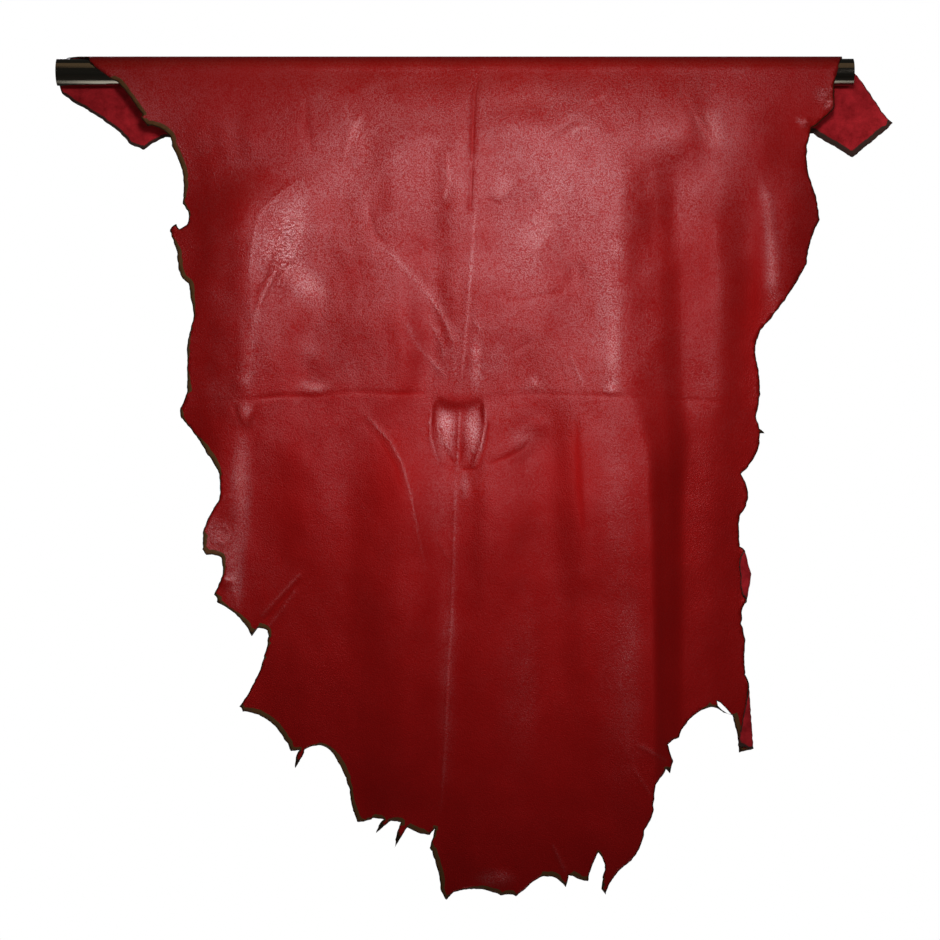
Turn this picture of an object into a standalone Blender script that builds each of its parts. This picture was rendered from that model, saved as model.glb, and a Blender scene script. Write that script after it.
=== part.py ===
"""A dyed leather hide hung over a plain round bar.

Units: the constants are in millimetres and degrees, and the meshes are in metres.
Frame: X runs along the bar, -Y is the side that the long front panel faces, +Z is up.
The origin is the centre of the bar's left end face, which is where the bar is held.
The tables' x is measured from a little further left, by BAR_INSET.

The hide is one thin sheet. A point of it is given by x, its place along the bar, and by drop,
the way along the leather from the crest of the bar: positive down the front, negative down the
back. hang() turns that pair into the place where the leather hangs.
"""

import math

import bmesh
import bpy
from mathutils import Vector
from mathutils.geometry import delaunay_2d_cdt

MM = 0.001

# ---------------------------------------------------------------- driving dimensions (mm)
BAR_DIAMETER = 27.0
BAR_LENGTH = 800.0
BAR_SIDES = 64

HIDE_THICKNESS = 1.4
HIDE_GAP = 0.8  # between the bar and the leather that lies on it
BAR_INSET = 10.0  # the tables' x = 0 lies this far to the left of the bar's left end face
FRONT_LENGTH = 830.0  # lowest tip of the front panel, below the bar's axis

WRAP_RADIUS = BAR_DIAMETER / 2 + HIDE_GAP + HIDE_THICKNESS / 2  # to the middle of the leather
QUARTER_WRAP = WRAP_RADIUS * math.pi / 2  # leather between the crest and the start of a fall
WRAP_STEPS = 8  # facets in a quarter of the wrap

GRID_STEP = 20.0  # between the inner points of the sheet
WRAP_GRID_STEP = 8.0  # the same along the bar, where the leather bends round it
EDGE_STEP = 13.0  # between the points of a bowed stretch of the edge
CREASE_STEP = 15.0  # between the points along a crease
ROLL_STEP = 12.0  # between the points along a rolled edge
EDGE_CLEARANCE = 6.5  # inner points stay this far from the edge
POINT_CLEARANCE = 5.5  # and grid points this far from the points of creases and rolls
WRAP_CLEARANCE = 1.4  # both, where the leather bends round the bar

LEATHER_COLOUR = (0.30, 0.012, 0.013, 1.0)
STEEL_COLOUR = (0.22, 0.21, 0.19, 1.0)

# ---------------------------------------------------------------- cut edge of the hide
# One row for each stretch of the edge: x and z of its start, and bow, how far the middle of the
# stretch bulges out from the hide (below zero: bites into it). The next row ends the stretch.
# Down the left edge of the front panel:
LEFT_EDGE = (
    # x, z, bow
    (42, 14.0, 0.0),
    (45, 8, 0.0),
    (50, 3, 0.0),
    (57, -2, 0.0),
    (65, -7.5, 0.0),
    (73, -12.5, 0.0),
    (82, -23, 0.0),
    (98, -45, 0.0),
    (96, -48, 0.0),
    (103, -56, -2.0),
    (122, -63, -2.0),
    (127, -76, -2.5),
    (139, -116, 0.0),
    (138, -134, -2.5),
    (144, -151, -1.5),
    (135, -159, -0.5),
    (131, -154, 1.5),
    (125, -162, -0.5),
    (133, -184, 1.5),
    (138, -209, 0.0),
    (145, -214, 0.0),
    (150, -247, 0.0),
    (143, -275, 0.0),
    (143, -320, -0.8),
    (136, -338, 1.0),
    (137, -348, -1.0),
    (161, -380, 0.0),
    (174, -400, -1.6),
    (175, -430, 1.5),
    (159, -462, 0.0),
    (159, -479, 0.0),
    (162, -484, -1.0),
    (177, -487, -1.0),
    (178, -506, 0.0),
    (170, -524, -1.5),
    (173, -532, -4.5),
    (207, -566, 0.0),
    (213, -558, -1.0),
    (223, -560, 0.0),
    (224, -566, -4.5),
)
# Along the lower edge of the front panel, left to right:
LOWER_EDGE = (
    # x, z, bow
    (195, -636, 0.0),
    (198, -641, -3.0),
    (230, -656, -1.0),
    (246, -681, 0.0),
    (254, -680, 1.0),
    (250, -698, 1.0),
    (260, -679, -9.0),
    (292, -690, -3.0),
    (306, -733, 0.0),
    (312, -752, 1.5),
    (328, -748, 0.0),
    (339, -749, 1.0),
    (331, -763, 0.0),
    (346, -750, 0.0),
    (356, -752, 1.0),
    (350, -777, 0.0),
    (362, -757, 0.0),
    (374, -763, 0.0),
    (385, -765, 0.0),
    (390, -758, 0.0),
    (388, -767, 0.0),
    (385, -778, -2.0),
    (396, -821, 0.0),
    (401, -FRONT_LENGTH, 0.0),
    (409, -822, -5.0),
    (456, -825, -1.5),
    (471, -826, 0.0),
    (486, -813, -9.0),
    (521, -817, 0.0),
    (524, -805, 0.0),
    (543, -811, -1.5),
    (553, -782, -3.5),
    (558, -805, 0.0),
    (556, -818, 0.0),
    (560, -824, -4.0),
    (586, -790, 2.5),
    (599, -760, 0.0),
    (607, -746, 0.0),
    (610, -714, 0.0),
    (621, -699, 0.0),
    (625, -703, 0.0),
    (628, -691, 0.0),
    (622, -675, -1.0),
    (634, -668, -3.5),
    (659, -640, -3.5),
    (680, -644, 0.0),
    (689, -647, -1.0),
    (695, -675, 0.0),
)
# Up the right edge of the front panel. Leather beyond a row of ROLLS is rolled to the front:
RIGHT_EDGE = (
    # x, z, bow
    (696, -684, 0.0),
    (728, -677, 0.0),
    (709, -620, 0.0),
    (702, -606, 0.0),
    (701, -590, 0.0),
    (702, -570, 0.0),
    (698, -554, 0.0),
    (699, -538, 0.0),
    (707, -530, 2.0),
    (721, -506, 2.0),
    (708, -484, 0.0),
    (696, -477, 0.0),
    (695, -455, 0.0),
    (696, -446, 8.0),
    (697, -404, 3.0),
    (716, -373, 0.0),
    (716, -364, 0.0),
    (721, -363, 0.0),
    (716, -358, 0.0),
    (712, -346, 4.0),
    (712, -290, -3.0),
    (718, -258, 2.5),
    (763, -193, -2.5),
    (776, -149, 1.5),
    (766, -109, -4.5),
    (767, -58, 1.0),
    (789, -38, 0.0),
    (789, -14, 0.0),
)
# Around the back, from the crest at the right to the crest at the left:
BACK_EDGE = (
    # x, z, bow
    (800, 14, 0.0),
    (821, -7, 0.0),
    (834, -26, -1.0),
    (852, -49, 0.0),
    (848, -54, 0.0),
    (812, -84, 0.0),
    (772, -60, -3.0),
    (700, -69, 3.0),
    (410, -75, 3.0),
    (117, -63, -1.0),
    (95, -76, 0.0),
    (82, -71, 0.0),
    (68, -56, 0.0),
    (45, -40, 0.8),
    (13, -20, 0.0),
    (10, -12, 0.0),
    (7, 12, 0.0),
)

# ---------------------------------------------------------------- how the front panel hangs
# Soft upright folds: each is a line down the panel, and between two lines the leather runs
# smoothly from the one's stand-out to the other's. Rows are x, z, out, from the top down, and
# the lines are listed from left to right.
FOLD_LINES = (
    # left rim, outside the edge
    ((60, 0, 0), (80, -60, -6), (105, -110, -14), (116, -200, -8), (120, -330, -8), (130, -390, -7),
     (120, -455, 6), (120, -500, 6), (124, -560, -2), (140, -640, -12), (150, -760, -14)),
    # left ridge
    ((257, 0, 0), (250, -60, 0), (236, -105, 1), (214, -140, 5), (206, -190, 7.5), (202, -250, 6.5),
     (197, -325, 3.5), (192, -370, 3.5), (182, -430, 5.5), (178, -530, 5.5), (190, -640, 2), (205, -740, -1)),
    # its foot
    ((282, 0, 0), (278, -60, 0.5), (270, -100, 1.2), (262, -140, 2.2), (255, -190, 2.0), (240, -250, 2.5),
     (232, -325, 0.8), (212, -370, 1.6), (211, -430, 3.2), (211, -530, 3.0), (222, -640, -1.5), (236, -740, -4)),
    # the broad left field
    ((300, 0, 0), (302, -95, 1), (290, -190, 0), (277, -250, -1.2), (262, -325, -0.8), (260, -370, 3),
     (262, -430, 5.4), (262, -530, 5.4), (266, -640, 2.0), (272, -740, -1)),
    ((345, 0, 0), (345, -95, 2), (350, -190, 1.6), (352, -250, 2.8), (345, -325, 2.2), (303, -370, 3.2),
     (300, -430, 6.4), (300, -530, 6.4), (305, -640, 3.0), (312, -740, -0.6)),
    ((385, 0, 0), (385, -95, 1.2), (387, -190, -2.4), (389, -250, -2.4), (383, -325, -1.0), (365, -370, 4.6),
     (361, -430, 13.4), (360, -530, 13.8), (360, -640, 10), (356, -740, 4)),
    # the upright crease
    ((418, 0, 0), (413, -95, 3.2), (412, -190, 0.2), (411, -250, -0.2), (406, -325, -0.9), (408, -370, 2.4),
     (410, -430, 8.0), (406, -530, 8.2), (402, -640, 5.0), (396, -740, 0)),
    ((434, 0, 0), (427, -95, 2.4), (424, -190, 0.6), (420, -250, 0), (418, -325, -0.4), (420, -370, 3),
     (421, -430, 8.6), (416, -530, 8.6), (412, -640, 5.4), (406, -740, 0.8)),
    ((452, 0, 0), (441, -95, 2.6), (440, -190, 0.6), (438, -250, 0.4), (437, -325, 0.4), (440, -370, 5),
     (446, -430, 11.6), (441, -530, 11.2), (437, -640, 7.6), (430, -740, 3)),
    # the middle field
    ((500, 0, 0), (495, -95, 1.2), (495, -190, -0.8), (495, -250, -0.8), (498, -325, -0.4), (503, -370, 1.2),
     (503, -430, 6.2), (508, -530, 7.0), (505, -640, 5), (500, -740, 2)),
    ((530, 0, 0), (528, -95, 0.9), (528, -190, -2.8), (530, -250, -2.8), (530, -325, 1.4), (536, -370, 5.6),
     (540, -430, 11.6), (545, -530, 11.6), (548, -640, 8.6), (548, -740, 4)),
    ((550, 0, 0), (548, -95, 0.7), (547, -190, -2), (550, -250, -1.8), (552, -325, 1.8), (560, -370, 6.6),
     (565, -430, 11.6), (568, -530, 11.6), (570, -640, 8.5), (572, -740, 4.6)),
    # ridge beside the deep fold
    ((585, 0, 0), (584, -95, 0.5), (588, -190, -1.1), (588, -250, -0.8), (589, -325, 2.4), (595, -370, 7.2),
     (602, -430, 12), (605, -530, 12.2), (607, -640, 9), (607, -740, 5), (606, -840, 2)),
    # the deep fold
    ((612, 0, 0), (612, -68, -1), (614, -95, -3.6), (618, -190, -7), (620, -250, -7), (621, -325, -5),
     (620, -370, 0), (620, -430, 3), (620, -530, 3), (620, -640, 1), (621, -740, -1), (620, -840, -3)),
    ((640, 0, 0), (640, -68, -1.6), (640, -95, -6.0), (645, -190, -12), (646, -250, -13), (645, -325, -12.5),
     (644, -370, -11), (640, -430, -9), (640, -530, -9), (640, -640, -9.5), (641, -740, -7)),
    # the strip behind it
    ((665, 0, 0), (666, -95, -6.2), (670, -190, -12.6), (671, -250, -14), (670, -325, -14),
     (666, -370, -13.5), (664, -430, -11.5), (664, -530, -11.5), (664, -640, -12)),
    # hollow
    ((690, 0, 0), (692, -95, -7.5), (706, -190, -19), (702, -250, -20), (700, -325, -20), (699, -370, -19.5),
     (699, -430, -18.5), (699, -530, -19), (699, -640, -19)),
    # low ridge beside the right rim
    ((750, 0, 0), (748, -60, -8.5), (745, -95, -13), (738, -140, -16), (734, -190, -20), (735, -250, -22),
     (728, -325, -23), (725, -430, -21.5), (725, -640, -22)),
    # right rim, outside the edge
    ((840, 0, 0), (815, -60, -12), (800, -110, -24), (790, -200, -33), (775, -300, -33), (750, -400, -28),
     (745, -640, -25)),
)
# How far the whole panel stands out from the bar's front: it bends at the level crease.
LEAN = (
    # z, out
    (0, 0.0),
    (-60, 7.5),
    (-110, 10.3),
    (-160, 11.6),
    (-230, 12.0),
    (-280, 11.2),
    (-324, 10.0),
    (-350, 8.2),
    (-430, 4.0),
    (-530, 2.0),
    (-640, 1.0),
    (-740, 0.0),
    (-840, -1.0),
)

# Creases where the hide was folded in four, and smaller ones. height: towards the viewer.
CREASES = (
    # x_start, z_start, x_end, z_end, width, height
    (434, -12, 427, -94, 7, -0.9),
    (427, -94, 425, -147, 7, -0.55),
    (429, -160, 416, -319, 7, 0.5),
    (411, -402, 404, -590, 7, 0.6),
    (404, -590, 396, -742, 7, 0.6),
    (191, -332, 268, -326, 7, -0.5),
    (268, -326, 391, -323, 7, -0.5),
    (440, -326, 602, -328, 7, -0.4),
    (602, -328, 687, -334, 7, -0.4),
    (345, -184, 409, -275, 8, 0.4),
    (316, -340, 381, -499, 8, 0.4),
    (258, -502, 216, -544, 9, 0.7),
    (507, -776, 521, -804, 8, 0.4),
    (592, -673, 623, -691, 8, 0.5),
)
# The pocket pushed in where the two long creases cross.
POCKET = {
    "x": 413.0,
    "top": -328.0,
    "brow": -338.0,
    "foot": -401.0,
    "top_half": 26.0,
    "foot_half": 16.0,
    "wall": 8.0,
    "depth": 1.7,
}

# Edges rolled to the front, so that the flesh side shows: the line where the roll starts.
ROLLS = (
    # x_top, z_top, x_end, z_end
    (702, -607, 708, -692),
    (697, -477, 705, -506),
    (705, -506, 699, -538),
)
ROLL_RADIUS = 2.6
ROLL_RUN = math.pi * ROLL_RADIUS  # leather taken up by the half turn


# ---------------------------------------------------------------- small curves
def smooth(t):
    """0 to 1 with a soft start and end."""
    t = min(max(t, 0.0), 1.0)
    return t * t * (3.0 - 2.0 * t)


def ridge(t):
    """1 at a sharp top and 0 from t = 1 on."""
    t = min(abs(t), 1.0)
    return (1.0 - t) ** 2 * (1.0 + t)


def along(heights, values, z):
    """Smooth curve through the values at falling heights."""
    last = len(heights) - 1
    if z >= heights[0]:
        return values[0]
    if z <= heights[last]:
        return values[last]
    i = next(i for i in range(last) if z > heights[i + 1])

    def slope(k):
        """Slope of the curve at a row, over its neighbours."""
        above, below = max(k - 1, 0), min(k + 1, last)
        return (values[below] - values[above]) / (heights[below] - heights[above])

    gap = heights[i + 1] - heights[i]
    mean = (values[i + 1] - values[i]) / gap
    u = (z - heights[i]) / gap
    bend = (slope(i) - mean) * (1.0 - u) - (slope(i + 1) - mean) * u
    return values[i] + gap * u * (mean + (1.0 - u) * bend)


# ---------------------------------------------------------------- relief of the front panel
def fold_relief(x, z):
    places = []
    outs = []
    for line in FOLD_LINES:
        xs, heights, stand_outs = zip(*line)
        places.append(along(heights, xs, z))
        outs.append(along(heights, stand_outs, z))
    if x <= places[0]:
        return outs[0]
    if x >= places[-1]:
        return outs[-1]
    rises = [
        (out_2 - out_1) / (x_2 - x_1)
        for x_1, x_2, out_1, out_2 in zip(places, places[1:], outs, outs[1:])
    ]

    def slope(k):
        """Level on a crest or in a hollow, and otherwise between the slopes on both sides."""
        if k in (0, len(rises)) or rises[k - 1] * rises[k] <= 0.0:
            return 0.0
        return 2.0 * rises[k - 1] * rises[k] / (rises[k - 1] + rises[k])

    i = next(i for i in range(len(rises)) if x < places[i + 1])
    gap = places[i + 1] - places[i]
    u = (x - places[i]) / gap
    bend = (slope(i) - rises[i]) * (1.0 - u) - (slope(i + 1) - rises[i]) * u
    return outs[i] + gap * u * (rises[i] + (1.0 - u) * bend)


def crease_relief(x, z):
    total = 0.0
    for x_start, z_start, x_end, z_end, width, height in CREASES:
        run = Vector((x_end - x_start, z_end - z_start))
        to_point = Vector((x - x_start, z - z_start))
        share = to_point.dot(run) / run.length_squared
        if -0.1 < share < 1.1:
            off = abs(run.x * to_point.y - run.y * to_point.x) / run.length
            fade = smooth((share + 0.1) * 5.0) * smooth((1.1 - share) * 5.0)
            total += height * ridge(off / width) * fade
    return total


def pocket_relief(x, z):
    if not POCKET["foot"] < z < POCKET["top"]:
        return 0.0
    share = (POCKET["top"] - z) / (POCKET["top"] - POCKET["foot"])
    half = POCKET["top_half"] + (POCKET["foot_half"] - POCKET["top_half"]) * share
    brow = smooth((POCKET["top"] - z) / (POCKET["top"] - POCKET["brow"]))
    wall = smooth((half - abs(x - POCKET["x"])) / POCKET["wall"])
    return -POCKET["depth"] * brow * (1.0 - share) * wall


def front_relief(x, z):
    """How far the front panel stands out from the plane just in front of the bar."""
    sharp = crease_relief(x, z) * smooth(-z / 14.0) + pocket_relief(x, z)
    return fold_relief(x, z) + along(*zip(*LEAN), z) + sharp


# ---------------------------------------------------------------- from the flat to the hanging sheet
def drop_of(z, side):
    """Way along the leather from the crest to height z: side 1 is the front, -1 the back."""
    if z > 0.0:
        return side * WRAP_RADIUS * math.acos(min(z / WRAP_RADIUS, 1.0))
    return side * (QUARTER_WRAP - z)


def roll_line(z):
    """Where the leather starts to roll at height z, or None."""
    for x_top, z_top, x_end, z_end in ROLLS:
        if z_end <= z <= z_top:
            return x_top + (x_end - x_top) * (z_top - z) / (z_top - z_end)
    return None


def hang(x, drop):
    """Place of the middle of the leather, in mm."""
    side = 1 if drop >= 0.0 else -1
    run = abs(drop)
    if run < QUARTER_WRAP:
        turn = run / WRAP_RADIUS
        return x, -side * WRAP_RADIUS * math.sin(turn), WRAP_RADIUS * math.cos(turn)
    z = QUARTER_WRAP - run
    if side < 0:
        return x, WRAP_RADIUS, z
    start = roll_line(z)
    if start is None or x <= start:
        return x, -WRAP_RADIUS - front_relief(x, z), z
    beyond = x - start
    y = -WRAP_RADIUS - front_relief(start, z)
    if beyond < ROLL_RUN:
        turn = beyond / ROLL_RADIUS
        return start + ROLL_RADIUS * math.sin(turn), y - ROLL_RADIUS * (1 - math.cos(turn)), z
    return start - (beyond - ROLL_RUN), y - 2 * ROLL_RADIUS, z


# ---------------------------------------------------------------- points of the flat sheet
def steps(length, step):
    return max(1, round(length / step))


def bowed(start, end, bow):
    """Points from start up to, not including, end, on an arc that stands out by bow."""
    chord = end - start
    outward = Vector((chord.y, -chord.x)).normalized()
    count = steps(chord.length, EDGE_STEP) if bow else 1
    if min(abs(start.y), abs(end.y)) < QUARTER_WRAP:
        count = steps(chord.length, QUARTER_WRAP / WRAP_STEPS)
    points = []
    for i in range(count):
        t = i / count
        points.append(start + chord * t + outward * bow * 4.0 * t * (1.0 - t))
    return points


def edge_points():
    """The cut edge as one closed loop in (x, drop), front first."""
    rows = [(x, drop_of(z, 1), bow) for x, z, bow in LEFT_EDGE + LOWER_EDGE + RIGHT_EDGE]
    rows += [(x, drop_of(z, -1), bow) for x, z, bow in BACK_EDGE]
    loop = []
    for (x, drop, bow), (next_x, next_drop, _) in zip(rows, rows[1:] + rows[:1]):
        # drop points down, so the sheet is on the other side of the chord than in a plan
        loop += bowed(Vector((x, -drop)), Vector((next_x, -next_drop)), bow)
    return [Vector((p.x, -p.y)) for p in loop]


def crease_lines():
    """Point rows along each crease: its crest and its two feet."""
    lines = []
    for x_start, z_start, x_end, z_end, width, _ in CREASES:
        start = Vector((x_start, drop_of(z_start, 1)))
        end = Vector((x_end, drop_of(z_end, 1)))
        run = end - start
        across = Vector((-run.y, run.x)).normalized()
        count = steps(run.length, CREASE_STEP)
        for shift in (0.0, -width, width):
            lines.append([start + run * i / count + across * shift for i in range(count + 1)])
    return lines


def roll_lines():
    """Point rows along each rolled edge, one for each eighth of a turn."""
    lines = []
    for x_top, z_top, x_end, z_end in ROLLS:
        count = steps(z_top - z_end, ROLL_STEP)
        for turn in range(6):
            shift = turn * ROLL_RUN / 4
            line = []
            for i in range(count + 1):
                t = i / count
                z = z_top + (z_end - z_top) * t
                line.append(Vector((x_top + (x_end - x_top) * t + shift, drop_of(z, 1))))
            lines.append(line)
    return lines


def grid_points(left, right, back, front):
    points = []
    columns = steps(right - left, GRID_STEP)
    wrap_columns = steps(right - left, WRAP_GRID_STEP)
    wrap = [QUARTER_WRAP * i / WRAP_STEPS for i in range(-WRAP_STEPS, WRAP_STEPS + 1)]
    rows_front = steps(front - QUARTER_WRAP, GRID_STEP)
    rows_back = steps(-back - QUARTER_WRAP, GRID_STEP)
    falls = [QUARTER_WRAP + (front - QUARTER_WRAP) * i / rows_front for i in range(1, rows_front)]
    falls += [-QUARTER_WRAP + (back + QUARTER_WRAP) * i / rows_back for i in range(1, rows_back)]
    rows = [(drop, wrap_columns) for drop in wrap] + [(drop, columns) for drop in falls]
    for drop, count in rows:
        for i in range(1, count):
            points.append(Vector((left + (right - left) * i / count, drop)))
    return points


def edge_distance(point, loop):
    """Distance from a point to the edge, below zero outside of it."""
    nearest = math.inf
    inside = False
    for a, b in zip(loop, loop[1:] + loop[:1]):
        run = b - a
        t = min(max((point - a).dot(run) / run.length_squared, 0.0), 1.0)
        nearest = min(nearest, (point - a - run * t).length)
        if (a.y > point.y) != (b.y > point.y):
            if point.x < a.x + (point.y - a.y) * run.x / run.y:
                inside = not inside
    return nearest if inside else -nearest


def on_crease(point):
    """Whether a point of the flat sheet lies within the width of a crease."""
    for x_start, z_start, x_end, z_end, width, _ in CREASES:
        start = Vector((x_start, drop_of(z_start, 1)))
        run = Vector((x_end, drop_of(z_end, 1))) - start
        t = min(max((point - start).dot(run) / run.length_squared, 0.0), 1.0)
        if (point - start - run * t).length < width + POINT_CLEARANCE / 2:
            return True
    return False


def flat_sheet():
    """The sheet as points in (x, drop) and triangles between them."""
    loop = edge_points()
    xs = [p.x for p in loop]
    drops = [p.y for p in loop]
    points = list(loop)
    kept_edges = []
    for line in crease_lines() + roll_lines():
        last = None
        for p in line:
            clear = all((p - q).length > POINT_CLEARANCE / 2 for q in points[len(loop):])
            if edge_distance(p, loop) < EDGE_CLEARANCE / 2 or not clear:
                last = None
                continue
            points.append(p)
            if last is not None:
                kept_edges.append((last, len(points) - 1))
            last = len(points) - 1
    fixed = points[len(loop):]
    for p in grid_points(min(xs), max(xs), min(drops), max(drops)):
        on_bar = abs(p.y) < QUARTER_WRAP + EDGE_CLEARANCE
        if edge_distance(p, loop) < (WRAP_CLEARANCE if on_bar else EDGE_CLEARANCE):
            continue
        if not on_bar and on_crease(p):
            continue
        if all((p - q).length > (WRAP_CLEARANCE if on_bar else POINT_CLEARANCE) for q in fixed):
            points.append(p)
    rim = [list(range(len(loop)))]
    verts, _, faces, *_ = delaunay_2d_cdt(points, kept_edges, rim, 1, 1e-4)
    return verts, faces


# ---------------------------------------------------------------- objects
def principled(name, colour, roughness, metallic):
    material = bpy.data.materials.new(name)
    material.use_nodes = True
    shader = material.node_tree.nodes["Principled BSDF"]
    shader.inputs["Base Color"].default_value = colour
    shader.inputs["Roughness"].default_value = roughness
    shader.inputs["Metallic"].default_value = metallic
    material.diffuse_color = colour
    return material


def new_object(name, mesh, material):
    mesh.materials.append(material)
    item = bpy.data.objects.new(name, mesh)
    bpy.context.scene.collection.objects.link(item)
    return item


def make_hide():
    points, faces = flat_sheet()
    inset = Vector((BAR_INSET, 0.0, 0.0))
    verts = [(Vector(hang(p.x, p.y)) - inset) * MM for p in points]
    mesh = bpy.data.meshes.new("hide")
    mesh.from_pydata(verts, [], faces)
    mesh.validate()
    item = new_object("hide", mesh, principled("dyed_leather", LEATHER_COLOUR, 0.5, 0.0))
    skin = item.modifiers.new("thickness", "SOLIDIFY")
    skin.thickness = HIDE_THICKNESS * MM
    skin.offset = 0.0
    return item


def make_bar():
    mesh = bpy.data.meshes.new("bar")
    bm = bmesh.new()
    bmesh.ops.create_cone(
        bm,
        cap_ends=True,
        segments=BAR_SIDES,
        radius1=BAR_DIAMETER / 2 * MM,
        radius2=BAR_DIAMETER / 2 * MM,
        depth=BAR_LENGTH * MM,
    )
    bm.to_mesh(mesh)
    bm.free()
    item = new_object("bar", mesh, principled("polished_steel", STEEL_COLOUR, 0.2, 1.0))
    item.rotation_euler = (0.0, math.pi / 2, 0.0)
    item.location = (BAR_LENGTH / 2 * MM, 0.0, 0.0)
    return item


def main():
    for item in list(bpy.data.objects):
        bpy.data.objects.remove(item, do_unlink=True)
    make_bar()
    make_hide()


main()
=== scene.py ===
"""Dresses the hung leather hide: the finished hide, the bar's finish, and a plain studio.

Lengths are in millimetres in the tables and in metres in the scene. A table's x runs along the bar
and its z upwards from the bar's axis. A point of the flat hide is given by x and by drop, the way
along the leather from the crest of the bar: positive down the front, negative down the back.
"""

import math

import bpy
import numpy as np
from bpy.props import FloatProperty, FloatVectorProperty, PointerProperty
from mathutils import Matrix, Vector, kdtree, noise
from mathutils.geometry import delaunay_2d_cdt


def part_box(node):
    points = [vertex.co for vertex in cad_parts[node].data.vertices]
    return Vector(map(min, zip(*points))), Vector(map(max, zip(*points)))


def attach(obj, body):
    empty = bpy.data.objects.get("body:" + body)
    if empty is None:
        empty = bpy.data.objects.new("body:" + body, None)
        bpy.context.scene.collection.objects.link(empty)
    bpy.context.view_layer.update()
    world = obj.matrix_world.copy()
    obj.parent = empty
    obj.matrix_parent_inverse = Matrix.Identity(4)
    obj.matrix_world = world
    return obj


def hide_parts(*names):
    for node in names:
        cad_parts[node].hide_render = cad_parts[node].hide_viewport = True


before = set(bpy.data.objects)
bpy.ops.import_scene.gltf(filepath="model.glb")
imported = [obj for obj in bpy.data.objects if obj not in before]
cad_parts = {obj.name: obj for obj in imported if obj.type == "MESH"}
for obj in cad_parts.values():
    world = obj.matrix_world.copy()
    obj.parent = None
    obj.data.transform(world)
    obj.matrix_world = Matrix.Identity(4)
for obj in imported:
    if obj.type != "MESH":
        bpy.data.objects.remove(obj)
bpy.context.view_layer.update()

bl_info = {
    "name": "Hung leather hide",
    "version": (1, 0, 0),
    "blender": (4, 5, 0),
    "location": "View3D > Sidebar > Hide",
    "description": "A dyed hide hung over a bar, with its finishes and a plain studio",
    "category": "Object",
}

MM = 0.001

# ---------------------------------------------------------------- sizes (mm), most from the frame
HIDE_LOW, HIDE_HIGH = (np.array(corner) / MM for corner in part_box("hide"))
THICKNESS = 1.4
WRAP_RADIUS = HIDE_HIGH[2] - THICKNESS / 2  # to the middle of the leather where it lies on the bar
QUARTER_WRAP = WRAP_RADIUS * math.pi / 2
FRONT_LENGTH = -HIDE_LOW[2]
BAR_INSET = 10.0  # the tables' x = 0 lies this far to the left of the bar's left end face
MIDDLE_X = 400.0  # between the left flap and the right one

# ---------------------------------------------------------------- cut edge of the hide (mm)
# One row for each stretch of the edge: x and z of its start, and bow, how far the middle of the
# stretch bulges out from the hide (below zero: bites into it). The next row ends the stretch.
LEFT_EDGE = (
    # x, z, bow
    (42, 14, 0.0),
    (45, 8, 0.0),
    (50, 3, 0.0),
    (57, -2, 0.0),
    (65, -7.5, 0.0),
    (73, -12.5, 0.0),
    (82, -23, 0.0),
    (98, -45, 0.0),
    (96, -48, 0.0),
    (103, -56, -2.0),
    (122, -63, -2.0),
    (127, -76, -2.5),
    (139, -116, 0.0),
    (138, -134, -2.5),
    (144, -151, -1.5),
    (135, -159, -0.5),
    (131, -154, 1.5),
    (125, -162, -0.5),
    (133, -184, 1.5),
    (138, -209, 0.0),
    (145, -214, 0.0),
    (150, -247, 0.0),
    (143, -275, 0.0),
    (143, -320, -0.8),
    (136, -338, 1.0),
    (137, -348, -1.0),
    (161, -380, 0.0),
    (174, -400, -1.6),
    (175, -430, 1.5),
    (159, -462, 0.0),
    (159, -479, 0.0),
    (162, -484, -1.0),
    (177, -487, -1.0),
    (178, -506, 0.0),
    (170, -524, -1.5),
    (173, -532, -4.5),
    (207, -566, 0.0),
    (213, -558, -1.0),
    (223, -560, 0.0),
    (224, -566, -4.5),
)

LOWER_EDGE = (
    # x, z, bow
    (195, -636, 0.0),
    (198, -641, -3.0),
    (230, -656, -1.0),
    (246, -681, 0.0),
    (254, -680, 1.0),
    (250, -698, 1.0),
    (260, -679, -9.0),
    (292, -690, -3.0),
    (306, -733, 0.0),
    (312, -752, 1.5),
    (328, -748, 0.0),
    (339, -749, 1.0),
    (331, -763, 0.0),
    (346, -750, 0.0),
    (356, -752, 1.0),
    (350, -777, 0.0),
    (362, -757, 0.0),
    (374, -763, 0.0),
    (385, -765, 0.0),
    (390, -758, 0.0),
    (388, -767, 0.0),
    (385, -778, -2.0),
    (396, -821, 0.0),
    (401, -FRONT_LENGTH, 0.0),
    (409, -822, -5.0),
    (456, -825, -1.5),
    (471, -826, 0.0),
    (486, -813, -9.0),
    (521, -817, 0.0),
    (524, -805, 0.0),
    (543, -811, -1.5),
    (553, -782, -3.5),
    (558, -805, 0.0),
    (556, -818, 0.0),
    (560, -824, -4.0),
    (586, -790, 2.5),
    (599, -760, 0.0),
    (607, -746, 0.0),
    (610, -714, 0.0),
    (621, -699, 0.0),
    (625, -703, 0.0),
    (628, -691, 0.0),
    (622, -675, -1.0),
    (634, -668, -3.5),
    (659, -640, -3.5),
    (680, -644, 0.0),
    (689, -647, -1.0),
    (695, -675, 0.0),
)

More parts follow.
